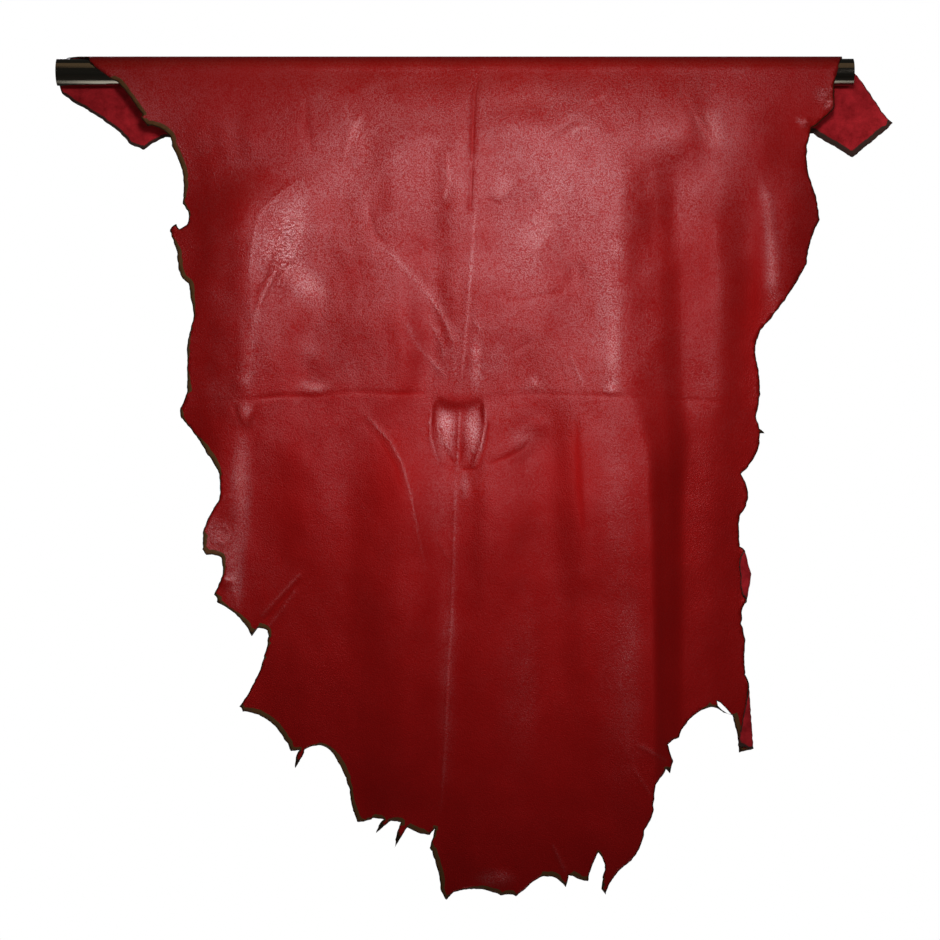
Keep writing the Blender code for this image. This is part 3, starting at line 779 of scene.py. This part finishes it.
def hang(x, drop):
    """Places of the middle of the leather, in mm."""
    front = drop >= 0.0
    run = np.abs(drop)
    turn = np.minimum(run, QUARTER_WRAP) / WRAP_RADIUS
    z = np.where(run < QUARTER_WRAP, WRAP_RADIUS * np.cos(turn), QUARTER_WRAP - run)
    y = WRAP_RADIUS * np.sin(turn) * np.where(front, -1.0, 1.0)
    falls = front & (run >= QUARTER_WRAP)
    start = roll_start(z)
    y = np.where(falls, y - front_relief(np.minimum(x, start), np.minimum(z, 0.0)), y)
    # past the roll's start the leather makes half a turn to the front, and then runs back flat
    beyond = np.where(falls, x - start, -1.0)
    half_turn = np.clip(beyond, 0.0, ROLL_RUN) / ROLL_RADIUS
    over = np.clip(beyond - ROLL_RUN, 0.0, None)
    rolled_x = start + ROLL_RADIUS * np.sin(half_turn) - over
    rolled_y = y - ROLL_RADIUS * (1.0 - np.cos(half_turn))
    x = np.where(beyond > 0.0, rolled_x, x)
    y = np.where(beyond > 0.0, rolled_y, y)
    return np.column_stack((x, y, z))


# ---------------------------------------------------------------- points of the flat sheet
def sides(loop):
    """The sides of a closed loop, each as its start and its end."""
    return zip(loop, loop[1:] + loop[:1])


def bowed(start, end, bow, step):
    """Points from start up to, not including, end, on an arc that stands out by bow."""
    chord = end - start
    outward = Vector((-chord.y, chord.x)).normalized()
    count = max(1, round(chord.length / step))
    shares = [i / count for i in range(count)]
    return [start + chord * t + outward * bow * 4.0 * t * (1.0 - t) for t in shares]


def frayed(p):
    """The shifts that leave a point of the cut edge ragged."""
    for wavelength, height, layers in FRAYS:
        jog = [noise.noise((p.x / wavelength, p.y / wavelength, layer)) for layer in layers]
        yield Vector(jog) * height


def edge_loop():
    """The cut edge as one closed loop in (x, drop), front first, a little ragged."""
    rows = [(x, drop_of(z, 1), bow) for x, z, bow in LEFT_EDGE + LOWER_EDGE + RIGHT_EDGE]
    rows += [(x, drop_of(z, -1), bow) for x, z, bow in BACK_EDGE]
    loop = []
    for (x, drop, bow), (next_x, next_drop, _) in sides(rows):
        loop += bowed(Vector((x, drop)), Vector((next_x, next_drop)), bow, EDGE_STEP)
    return [sum(frayed(p), p) for p in loop]


def fill_rows(loop, step):
    """Staggered rows of points inside the loop."""
    points = []
    low = min(p.y for p in loop)
    count = int((max(p.y for p in loop) - low) / step)
    margin = step * ROW_CLEAR
    for row in range(count):
        y = low + step * (row + 0.5)
        crossings = []
        for a, b in sides(loop):
            if (a.y > y) != (b.y > y):
                crossings.append(a.x + (y - a.y) * (b.x - a.x) / (b.y - a.y))
        crossings.sort()
        shift = (row % 2) * step / 2
        for left, right in zip(crossings[::2], crossings[1::2]):
            column = math.ceil((left + margin - shift) / step)
            while shift + column * step < right - margin:
                points.append(Vector((shift + column * step, y)))
                column += 1
    return points


def crease_rows():
    """Points close together across each crease, so that its crest stays sharp."""
    points = []
    for width, _, line in CREASES:
        for start, end in zip(line, line[1:]):
            a, b = (Vector((x, drop_of(z, 1))) for x, z in (start, end))
            across = Vector((a.y - b.y, b.x - a.x)).normalized()
            count = max(1, round((b - a).length / CREASE_STEP))
            for i in range(count):
                points += [a + (b - a) * (i / count) + across * row * width for row in CREASE_ROWS]
    return points


def thinned(points, gap, kept):
    """Points that stand clear of one another and of the kept ones."""
    cells = {}
    for p in kept:
        cells.setdefault((int(p.x // gap), int(p.y // gap)), []).append(p)
    result = []
    for p in points:
        cx, cy = int(p.x // gap), int(p.y // gap)
        near = [q for i in (-1, 0, 1) for j in (-1, 0, 1) for q in cells.get((cx + i, cy + j), ())]
        if all((p - q).length > gap for q in near):
            result.append(p)
            cells.setdefault((cx, cy), []).append(p)
    return result


def inside(p, loop):
    """Whether a point lies inside a closed loop."""
    odd = False
    for a, b in sides(loop):
        if (a.y > p.y) != (b.y > p.y) and p.x < a.x + (p.y - a.y) * (b.x - a.x) / (b.y - a.y):
            odd = not odd
    return odd


def at_bar(drop):
    """Whether the leather lies on the bar or just under it there."""
    return np.abs(drop) < QUARTER_WRAP + BAR_ZONE


def strip_width(p, outward):
    """Width of the painted shadow strip at a point of the edge, by the way that the edge faces there."""
    if at_bar(p.y):
        return 0.0
    if p.y < 0.0:
        return FLAP_SHADOW_WIDTHS[p.x > MIDDLE_X] * float(smooth((-outward.y - STRIP_FROM) / FLAP_STRIP_RISE))
    wavelength, mean, swing, layer = STRIP_PATCHES
    patch = smooth(mean + swing * noise.noise((p.x / wavelength, p.y / wavelength, layer)))
    return PAINTED_SHADOW_WIDTH * float(smooth((SHADOW_SLANT.dot(outward) - STRIP_FROM) / PAINTED_SHADOW_RISE) * patch)


def strip_widths(loop):
    """Width of the painted shadow strip at each point of the edge."""
    return [strip_width(p, Vector((before.y - after.y, after.x - before.x)).normalized())
            for before, p, after in zip(loop[-1:] + loop[:-1], loop, loop[1:] + loop[:1])]


def flat_sheet(step):
    """Points in (x, drop), triangles, and each point's distances to the cut edge and to its painted shadow
    strip.
    """
    loop = edge_loop()
    slit = [Vector((x, drop_of(z, 1))) for x, z in SLIT]
    rim = loop + slit
    tree = kdtree.KDTree(len(rim))
    for i, p in enumerate(rim):
        tree.insert((p.x, p.y, 0.0), i)
    tree.balance()

    def clear(points, gap):
        return [p for p in points if tree.find((p.x, p.y, 0.0))[2] > gap]

    fine = clear([p for p in thinned(crease_rows(), CREASE_GAP, []) if inside(p, loop)], CREASE_CLEAR)
    grid = clear(thinned(fill_rows(loop, step), step * GRID_GAP, fine), step * GRID_CLEAR)
    edges = [(len(loop) + i, len(loop) + (i + 1) % len(slit)) for i in range(len(slit))]
    verts, _, faces, *_ = delaunay_2d_cdt(
        rim + fine + grid, edges, [list(range(len(loop)))], INSIDE_ONLY, MERGE_GAP)
    faces = [f[::-1] for f in faces if not inside(sum((verts[i] for i in f), Vector((0, 0))) / 3, slit)]
    nearest = [tree.find((p.x, p.y, 0.0)) for p in verts]
    flat = np.array([(p.x, p.y) for p in verts])
    to_edge = np.array([distance for _, _, distance in nearest])
    to_edge[at_bar(flat[:, 1])] += THINNER_CUT
    widths = np.array(strip_widths(loop) + [0.0] * len(slit))
    return flat, faces, to_edge, to_edge - widths[[i for _, i, _ in nearest]]


# ---------------------------------------------------------------- materials
def linear(code):
    """An sRGB hex colour as linear red, green, blue and alpha."""
    parts = [int(code[i:i + 2], 16) / 255 for i in (1, 3, 5)]
    return (*(c / 12.92 if c <= 0.04045 else ((c + 0.055) / 1.055) ** 2.4 for c in parts), 1.0)


def per(size):
    """The scale of a pattern whose parts lie size mm apart."""
    return 1.0 / (size * MM)


def span(from_min, from_max, to_min=0.0, to_max=1.0):
    """Socket values that map one range of a value to another."""
    return {"From Min": from_min, "From Max": from_max, "To Min": to_min, "To Max": to_max}


def add_node(tree, kind, settings=None, values=None, links=None):
    """Adds a node: settings are its properties, values its sockets' values, and links the nodes that
    feed its sockets, each alone for its first output or as (node, output)."""
    node = tree.nodes.new(kind)
    for key, value in (settings or {}).items():
        setattr(node, key, value)
    for key, value in (values or {}).items():
        node.inputs[key].default_value = value
    for key, link in (links or {}).items():
        source, output = link if isinstance(link, tuple) else (link, 0)
        tree.links.new(source.outputs[output], node.inputs[key])
    return node


def layered(tree, base, *layers):
    """A base colour with others laid over it in turn, each given as its share, 0 to 1, and its colour."""
    under = {}
    for share, colour in layers:
        node = add_node(tree, "ShaderNodeMix", {"data_type": "RGBA"},
                        {6: base, 7: colour}, {0: share, **under})
        under = {6: (node, 2)}
    return under[6]


def new_material(name):
    """An empty material and its node tree."""
    material = bpy.data.materials.new(name)
    material.use_nodes = True
    material.node_tree.nodes.clear()
    return material, material.node_tree


def add_surface(tree, values, links):
    """Ends a material in its shader, with these values and links."""
    shader = add_node(tree, "ShaderNodeBsdfPrincipled", None, values, links)
    add_node(tree, "ShaderNodeOutputMaterial", links={"Surface": shader})


def grain_material(settings):
    """Goat leather, drum-dyed and glazed, on its grain side."""
    # it gives the eye a deep red under a whitish sheen, which the pebbled grain breaks into specks
    material, tree = new_material("drum_dyed_glazed_goat_grain")
    flat = add_node(tree, "ShaderNodeUVMap", {"uv_map": "flat"})
    edge, raw, loose, highlit = (
        (add_node(tree, "ShaderNodeAttribute", {"attribute_name": name}), "Fac")
        for name in ("edge", "raw", "loose", "gloss"))

    # the dye: a little cloudy, painted paler where the glaze is strongest (a painted highlight), gone from
    # the cuts, where a dark line, partly painted shade, and a painted shadow strip take its place
    blotches = add_node(tree, "ShaderNodeTexNoise", None,
                        {"Scale": per(BLOTCHES), "Detail": 4.0, "Roughness": 0.55}, {"Vector": flat})
    light = add_node(tree, "ShaderNodeMapRange", None, span(0.30, 0.72), {"Value": blotches})
    # painted highlight: the grain turns paler where the glaze is strongest
    painted_highlight = add_node(tree, "ShaderNodeMapRange", None, span(1.6, 3.4, 0.0, 0.4), {"Value": highlit})
    # painted shadow: an olive strip beside the edges that face down and to the left
    strip = add_node(tree, "ShaderNodeMapRange", None, span(0.4, 1.0, 0.9, 0.0), {"Value": raw})
    # a dark line along the cut: partly the cut's own dark fibres, partly painted shade at the edge
    darkened = add_node(tree, "ShaderNodeMapRange", None, span(0.4, 1.6, 0.95, 0.0), {"Value": edge})
    colour = layered(
        tree, settings.grain_dark, (light, settings.grain_light), (painted_highlight, settings.grain_painted_highlight),
        (strip, settings.painted_shadow_colour), (darkened, settings.cut_colour))
    # the cut's dark line and the painted shadow strip get no glaze and no reflection of their own
    cut_and_painted_shadow = add_node(tree, "ShaderNodeMath", {"operation": "MAXIMUM"}, None, {0: darkened, 1: strip})
    whole = add_node(tree, "ShaderNodeMath", {"operation": "SUBTRACT"}, {0: 1.0}, {1: cut_and_painted_shadow})

    # the grain's pebbles and pores
    pebbles = add_node(tree, "ShaderNodeTexVoronoi", {"feature": "F1"},
                       {"Scale": per(PEBBLES), "Randomness": 1.0}, {"Vector": flat})
    pores = add_node(tree, "ShaderNodeTexNoise", None,
                     {"Scale": per(PORES), "Detail": 3.0, "Roughness": 0.7}, {"Vector": flat})
    grain = add_node(tree, "ShaderNodeMath", {"operation": "MULTIPLY_ADD"}, {1: -0.7},
                     {0: pebbles, 2: pores})
    grain_bump = add_node(tree, "ShaderNodeBump", None,
                          {"Strength": 0.7, "Distance": GRAIN_DEPTH * MM}, {"Height": grain})

    # where the leather is loose it crackles into fine, slanting wrinkles
    slanted = add_node(tree, "ShaderNodeMapping", None,
                       {"Rotation": (0.0, 0.0, math.radians(WRINKLE_TURN)), "Scale": WRINKLE_STRETCH},
                       {"Vector": flat})
    sway = add_node(tree, "ShaderNodeTexNoise", None,
                    {"Scale": per(WRINKLES), "Detail": 3.0, "Roughness": 0.6}, {"Vector": slanted})
    off = add_node(tree, "ShaderNodeMath", {"operation": "SUBTRACT"}, {1: 0.5}, {0: sway})
    beside = add_node(tree, "ShaderNodeMath", {"operation": "ABSOLUTE"}, None, {0: off})
    furrow = add_node(tree, "ShaderNodeMapRange", {"interpolation_type": "SMOOTHSTEP"},
                      span(0.0, 0.045, 1.0, 0.0), {"Value": beside})
    wrinkled = add_node(tree, "ShaderNodeMath", {"operation": "MULTIPLY"}, None, {0: furrow, 1: loose})
    bump = add_node(tree, "ShaderNodeBump", {"invert": True},
                    {"Strength": 0.5, "Distance": GRAIN_DEPTH * MM},
                    {"Height": wrinkled, "Normal": grain_bump})

    # the clear glaze: thick on the pebbles' tops, uneven, thin in wrinkles, gone from the cuts and from the
    # painted shadow strip
    clouds = add_node(tree, "ShaderNodeTexNoise", None,
                      {"Scale": per(CLOUDS), "Detail": 5.0, "Roughness": 0.65}, {"Vector": flat})
    rough = add_node(tree, "ShaderNodeMapRange", None, span(0.3, 0.7, 0.27, 0.37), {"Value": clouds})
    specks = add_node(tree, "ShaderNodeMapRange", None,
                      span(0.15, 0.75, 1.7 * settings.glaze, 0.3 * settings.glaze), {"Value": pebbles})
    kept = add_node(tree, "ShaderNodeMath", {"operation": "MULTIPLY_ADD"}, {1: -0.5, 2: 1.0},
                    {0: wrinkled})
    cloudy = add_node(tree, "ShaderNodeMapRange", None, span(0.3, 0.7, 0.55, 1.45), {"Value": clouds})
    glaze = specks
    for factor in (highlit, kept, cloudy, whole):
        glaze = add_node(tree, "ShaderNodeMath", {"operation": "MULTIPLY"}, None, {0: glaze, 1: factor})

    # under the glaze the dyed grain itself reflects broadly, in its own colour
    add_surface(
        tree, {"Roughness": 0.55, "IOR": 1.8, "Specular Tint": (1.0, 0.03, 0.03, 1.0)},
        {"Base Color": colour, "Normal": bump, "Specular IOR Level": whole,
         "Coat Weight": glaze, "Coat Roughness": rough, "Coat Normal": bump})
    return material


def flesh_material(settings):
    """The hide's flesh side, buffed, and dyed through."""
    # it gives the eye a short, matt nap, a little brighter than the grain
    material, tree = new_material("buffed_flesh_side_suede")
    flat = add_node(tree, "ShaderNodeUVMap", {"uv_map": "flat"})
    raw = add_node(tree, "ShaderNodeAttribute", {"attribute_name": "raw"})
    nap = add_node(tree, "ShaderNodeTexNoise", None,
                   {"Scale": per(NAP), "Detail": 6.0, "Roughness": 0.7}, {"Vector": flat})
    light = add_node(tree, "ShaderNodeMapRange", None, span(0.30, 0.72), {"Value": nap})
    # a dark line along the cut, partly painted shade, widening under the flaps into a painted shadow strip
    darkened = add_node(tree, "ShaderNodeMapRange", None, span(0.3, 1.4, 0.95, 0.0), {"Value": (raw, "Fac")})
    colour = layered(
        tree, settings.flesh_dark, (light, settings.flesh_light), (darkened, settings.flap_cut_and_shadow_colour))
    fibres = add_node(tree, "ShaderNodeTexNoise", None,
                      {"Scale": per(FIBRES), "Detail": 4.0, "Roughness": 0.8}, {"Vector": flat})
    bump = add_node(tree, "ShaderNodeBump", None,
                    {"Strength": 0.6, "Distance": NAP_DEPTH * MM}, {"Height": fibres})
    nap_left = add_node(tree, "ShaderNodeMapRange", None, span(0.0, 1.0, 0.25, 0.0), {"Value": darkened})
    add_surface(
        tree, {"Roughness": 0.95, "Specular IOR Level": 0.2, "Sheen Roughness": 0.5,
               "Sheen Tint": linear("#D86A6A")},
        {"Base Color": colour, "Normal": bump, "Sheen Weight": nap_left})
    return material


def cut_material(settings):
    """The hide's edge, cut with a knife and left raw."""
    # it gives the eye a thin, dark, dull line of fibres
    material, tree = new_material("raw_cut_leather_edge")
    flat = add_node(tree, "ShaderNodeUVMap", {"uv_map": "flat"})
    fibres = add_node(tree, "ShaderNodeTexNoise", None,
                      {"Scale": per(CUT_FIBRES), "Detail": 4.0}, {"Vector": flat})
    light = add_node(tree, "ShaderNodeMapRange", None, span(0.3, 0.8), {"Value": fibres})
    colour = layered(tree, settings.cut_colour, (light, linear("#4A2A1C")))
    add_surface(tree, {"Roughness": 0.9, "Specular IOR Level": 0.2}, {"Base Color": colour})
    return material


def steel_material(settings):
    """Steel, drawn bright and polished."""
    # it gives the eye a dark mirror, with bands of light drawn out along the bar
    material, tree = new_material("polished_drawn_steel")
    place = add_node(tree, "ShaderNodeTexCoord")
    stretch = add_node(tree, "ShaderNodeMapping", None,
                       {"Scale": [per(size) for size in DRAWN_LINES]}, {"Vector": (place, "Object")})
    lines = add_node(tree, "ShaderNodeTexNoise", None, {"Scale": 1.0, "Detail": 4.0}, {"Vector": stretch})
    rough = add_node(tree, "ShaderNodeMapRange", None, span(0.3, 0.7, 0.08, 0.2), {"Value": lines})
    bump = add_node(tree, "ShaderNodeBump", None,
                    {"Strength": 0.1, "Distance": LINE_DEPTH * MM}, {"Height": lines})
    add_surface(
        tree, {"Base Color": settings.steel_colour, "Metallic": 1.0}, {"Roughness": rough, "Normal": bump})
    return material


def floor_material():
    """Board, painted matt."""
    # it gives the eye a pale, even ground with a faint mottle
    material, tree = new_material("matt_painted_board")
    place = add_node(tree, "ShaderNodeTexCoord")
    mottle = add_node(tree, "ShaderNodeTexNoise", None,
                      {"Scale": per(MOTTLE), "Detail": 3.0}, {"Vector": (place, "Object")})
    light = add_node(tree, "ShaderNodeMapRange", None, span(0.3, 0.7), {"Value": mottle})
    colour = layered(tree, linear("#DAD8D4"), (light, linear("#E2E0DC")))
    add_surface(tree, {"Roughness": 0.8}, {"Base Color": colour})
    return material


# ---------------------------------------------------------------- settings
def tint(name, description, code):
    """A colour that the user can change."""
    return FloatVectorProperty(
        name=name, description=description, default=linear(code), size=4, min=0.0, max=1.0, subtype="COLOR")


def power(name, description, watts):
    """A lamp's power that the user can change."""
    return FloatProperty(name=name, description=description, default=watts, min=0.0, unit="POWER")


class HideSettings(bpy.types.PropertyGroup):
    """What a user would change on the leather"""

    thickness: FloatProperty(
        name="Thickness", description="Thickness of the leather",
        default=THICKNESS * MM, min=0.0008, max=0.003, unit="LENGTH", precision=4)
    grid_step: FloatProperty(
        name="Mesh step", description="Distance between the points of the mesh",
        default=0.0036, min=0.003, max=0.02, unit="LENGTH", precision=4)
    glaze: FloatProperty(
        name="Glaze", description="Strength of the clear glaze on the grain side",
        default=0.5, min=0.0, max=1.0)
    grain_dark: tint("Grain, dark", "Darker tone of the grain side", "#8E0D0B")
    grain_light: tint("Grain, light", "Lighter tone of the grain side", "#9A110F")
    # painted highlight: the paler tone laid on where the glaze is strongest
    grain_painted_highlight: tint("Grain, rubbed", "Tone of the rubbed grain", "#D42A26")
    flesh_dark: tint("Flesh, dark", "Darker tone of the flesh side", "#96141A")
    flesh_light: tint("Flesh, light", "Lighter tone of the flesh side", "#E6323A")
    # colour of the painted shadow strip
    painted_shadow_colour: tint("Slanting cut", "Colour of the raw strip of a slanting cut", "#62502F")
    # also paints the dark line along the grain side's cut, which is partly painted shade
    cut_colour: tint("Cut edge", "Colour of the burnt cut edge", "#2A2318")
    # the dark line along the flesh side's cut, partly painted shade, and the painted shadow strip under the
    # flaps
    flap_cut_and_shadow_colour: tint("Cut edge, flaps", "Colour of the cut edge of the flaps", "#3B352C")


class BarSettings(bpy.types.PropertyGroup):
    """What a user would change on the bar"""

    steel_colour: tint("Steel", "Colour of the polished steel", "#5E5A50")


class StageSettings(bpy.types.PropertyGroup):
    """What a user would change on the stage"""

    distance: FloatProperty(
        name="Camera distance", description="From the camera to the front panel",
        default=2.6, min=1.0, max=6.0, unit="LENGTH")
    key_power: power("Front light", "Power of the soft lamp in front", 52.0)
    side_power: power("Side light", "Power of the soft lamp on the right", 3.0)
    flap_power: power("Flap light", "Power of the narrow lamp on the right flap", 25.0)
    back_power: power("Back light", "Power of the soft lamp behind", 40.0)
    card_power: power("Card", "Power of the card below, which the bar mirrors", 11.0)
    fill: FloatProperty(name="Fill", description="Brightness of the room", default=0.06, min=0.0, max=2.0)


# ---------------------------------------------------------------- the hide
def leather_mesh(settings):
    """The middle of the leather as a mesh, with its flat layout, its attributes and its materials."""
    flat, faces, to_edge, to_painted_shadow = flat_sheet(settings.grid_step / MM)
    places = hang(flat[:, 0], flat[:, 1])
    mesh = bpy.data.meshes.new("hide_leather")
    mesh.from_pydata(((places - (BAR_INSET, 0.0, 0.0)) * MM).tolist(), [], faces)
    mesh.validate()
    uv = mesh.uv_layers.new(name="flat")
    for loop in mesh.loops:
        x, drop = flat[loop.vertex_index]
        uv.data[loop.index].uv = (x * MM, (UV_MARGIN + FRONT_LENGTH + QUARTER_WRAP - drop) * MM)
    front = flat[:, 1] > QUARTER_WRAP
    on_front = flat[:, 0], QUARTER_WRAP - flat[:, 1]
    loose = np.where(front, looseness(*on_front), 0.0)
    gloss = np.where(front, glossiness(*on_front), 1.0)
    # the attribute raw is the distance to the painted shadow strip
    for name, values in (("edge", to_edge), ("raw", to_painted_shadow), ("loose", loose), ("gloss", gloss)):
        mesh.attributes.new(name, "FLOAT", "POINT").data.foreach_set("value", values.astype(np.float32))
    for material in (grain_material(settings), flesh_material(settings), cut_material(settings)):
        mesh.materials.append(material)
    mesh.polygons.foreach_set("use_smooth", [True] * len(mesh.polygons))
    return mesh


class HIDE_OT_hang(bpy.types.Operator):
    """Hangs the leather over the bar"""

    bl_idname = "hide.hang"
    bl_label = "Hang the hide"

    def execute(self, context):
        settings = context.scene.hide_settings
        item = bpy.data.objects.new("hide_leather", leather_mesh(settings))
        context.scene.collection.objects.link(item)
        skin = item.modifiers.new("thickness", "SOLIDIFY")
        skin.thickness = settings.thickness
        skin.offset = 0.0
        skin.material_offset = 1  # the flesh side
        skin.material_offset_rim = 2  # the cut edge
        bpy.ops.object.select_all(action="DESELECT")
        item.select_set(True)
        context.view_layer.objects.active = item
        bpy.ops.object.modifier_apply(modifier=skin.name)
        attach(item, "root")
        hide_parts("hide")
        return {"FINISHED"}


# ---------------------------------------------------------------- the bar
class HIDE_OT_finish_bar(bpy.types.Operator):
    """Gives the bar its polished finish"""

    bl_idname = "hide.finish_bar"
    bl_label = "Finish the bar"

    def execute(self, context):
        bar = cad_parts["bar"]
        bar.data.materials.clear()
        bar.data.materials.append(steel_material(context.scene.bar_settings))
        return {"FINISHED"}


# ---------------------------------------------------------------- the stage
def add_light(name, kind, place, watts, colour):
    """A lamp that the camera doesn't see itself."""
    data = bpy.data.lights.new(name, kind)
    data.energy = watts
    data.color = colour
    light = bpy.data.objects.new(name, data)
    bpy.context.scene.collection.objects.link(light)
    light.location = place
    light.visible_camera = False
    return light, data


def add_spot(name, place, target, radius, angle, watts):
    """A soft lamp whose beam fades out towards its rim."""
    light, data = add_light(name, "SPOT", place, watts, LAMP_COLOUR)
    data.shadow_soft_size = radius
    data.spot_size = math.radians(angle)
    data.spot_blend = 1.0
    light.rotation_euler = (Vector(target) - Vector(place)).to_track_quat("-Z", "Y").to_euler()


def add_card(name, place, sides, turn, colour, watts):
    """A lit card that shows in reflections only."""
    light, data = add_light(name, "AREA", place, watts, colour)
    data.shape = "RECTANGLE"
    data.size, data.size_y = sides
    light.rotation_euler = (turn, 0.0, 0.0)
    light.visible_diffuse = False


def set_room(scene, fill):
    """A dim room that lights the object evenly, in front of white paper."""
    scene.world = bpy.data.worlds.new("studio")
    scene.world.use_nodes = True
    tree = scene.world.node_tree
    tree.nodes.clear()
    room = add_node(tree, "ShaderNodeBackground", None, {"Color": ROOM_COLOUR, "Strength": fill})
    paper = add_node(tree, "ShaderNodeBackground", None, {"Color": linear("#FFFFFF"), "Strength": 1.0})
    rays = add_node(tree, "ShaderNodeLightPath")
    both = add_node(tree, "ShaderNodeMixShader", links={0: (rays, "Is Camera Ray"), 1: room, 2: paper})
    add_node(tree, "ShaderNodeOutputWorld", links={"Surface": both})


def set_camera(scene, distance):
    """A camera square to the front panel, which takes in VIEW_SIDE at the panel's plane."""
    data = bpy.data.cameras.new("camera")
    data.sensor_width = SENSOR
    data.lens = SENSOR * distance / VIEW_SIDE
    camera = bpy.data.objects.new("camera", data)
    scene.collection.objects.link(camera)
    camera.location = (VIEW_X, -WRAP_RADIUS * MM - distance, VIEW_Z)
    camera.rotation_euler = (math.pi / 2, 0.0, 0.0)
    scene.camera = camera


class HIDE_OT_set_stage(bpy.types.Operator):
    """Sets the floor, the lights and the camera"""

    bl_idname = "hide.set_stage"
    bl_label = "Set the stage"

    def execute(self, context):
        settings = context.scene.stage_settings
        bpy.ops.object.select_all(action="DESELECT")
        bpy.ops.mesh.primitive_plane_add(size=FLOOR_SIDE, location=(VIEW_X, 0.0, FLOOR_Z))
        floor = context.object
        floor.name = "studio_floor"
        floor.data.materials.append(floor_material())
        for *spot, lamp, share in SPOTS:
            add_spot(*spot, getattr(settings, lamp) * share)
        for *card, share in CARDS:
            add_card(*card, settings.card_power * share)
        set_room(context.scene, settings.fill)
        set_camera(context.scene, settings.distance)
        context.scene.view_settings.view_transform = "Standard"
        return {"FINISHED"}


# ---------------------------------------------------------------- the add-on
class HIDE_PT_panel(bpy.types.Panel):
    """Lists the hide's settings and operators"""

    bl_label = "Hung hide"
    bl_space_type = "VIEW_3D"
    bl_region_type = "UI"
    bl_category = "Hide"

    def draw(self, context):
        layout = self.layout
        for group in ("hide_settings", "bar_settings", "stage_settings"):
            settings = getattr(context.scene, group)
            for name in settings.__annotations__:
                layout.prop(settings, name)
        for operator in (HIDE_OT_hang, HIDE_OT_finish_bar, HIDE_OT_set_stage):
            layout.operator(operator.bl_idname)


CLASSES = (
    HideSettings, BarSettings, StageSettings,
    HIDE_OT_hang, HIDE_OT_finish_bar, HIDE_OT_set_stage, HIDE_PT_panel,
)


def register():
    for item in CLASSES:
        bpy.utils.register_class(item)
    bpy.types.Scene.hide_settings = PointerProperty(type=HideSettings)
    bpy.types.Scene.bar_settings = PointerProperty(type=BarSettings)
    bpy.types.Scene.stage_settings = PointerProperty(type=StageSettings)


def unregister():
    del bpy.types.Scene.stage_settings
    del bpy.types.Scene.bar_settings
    del bpy.types.Scene.hide_settings
    for item in reversed(CLASSES):
        bpy.utils.unregister_class(item)


def main():
    register()
    bpy.ops.hide.set_stage()
    bpy.ops.hide.finish_bar()
    bpy.ops.hide.hang()


if __name__ == "__main__":
    main()
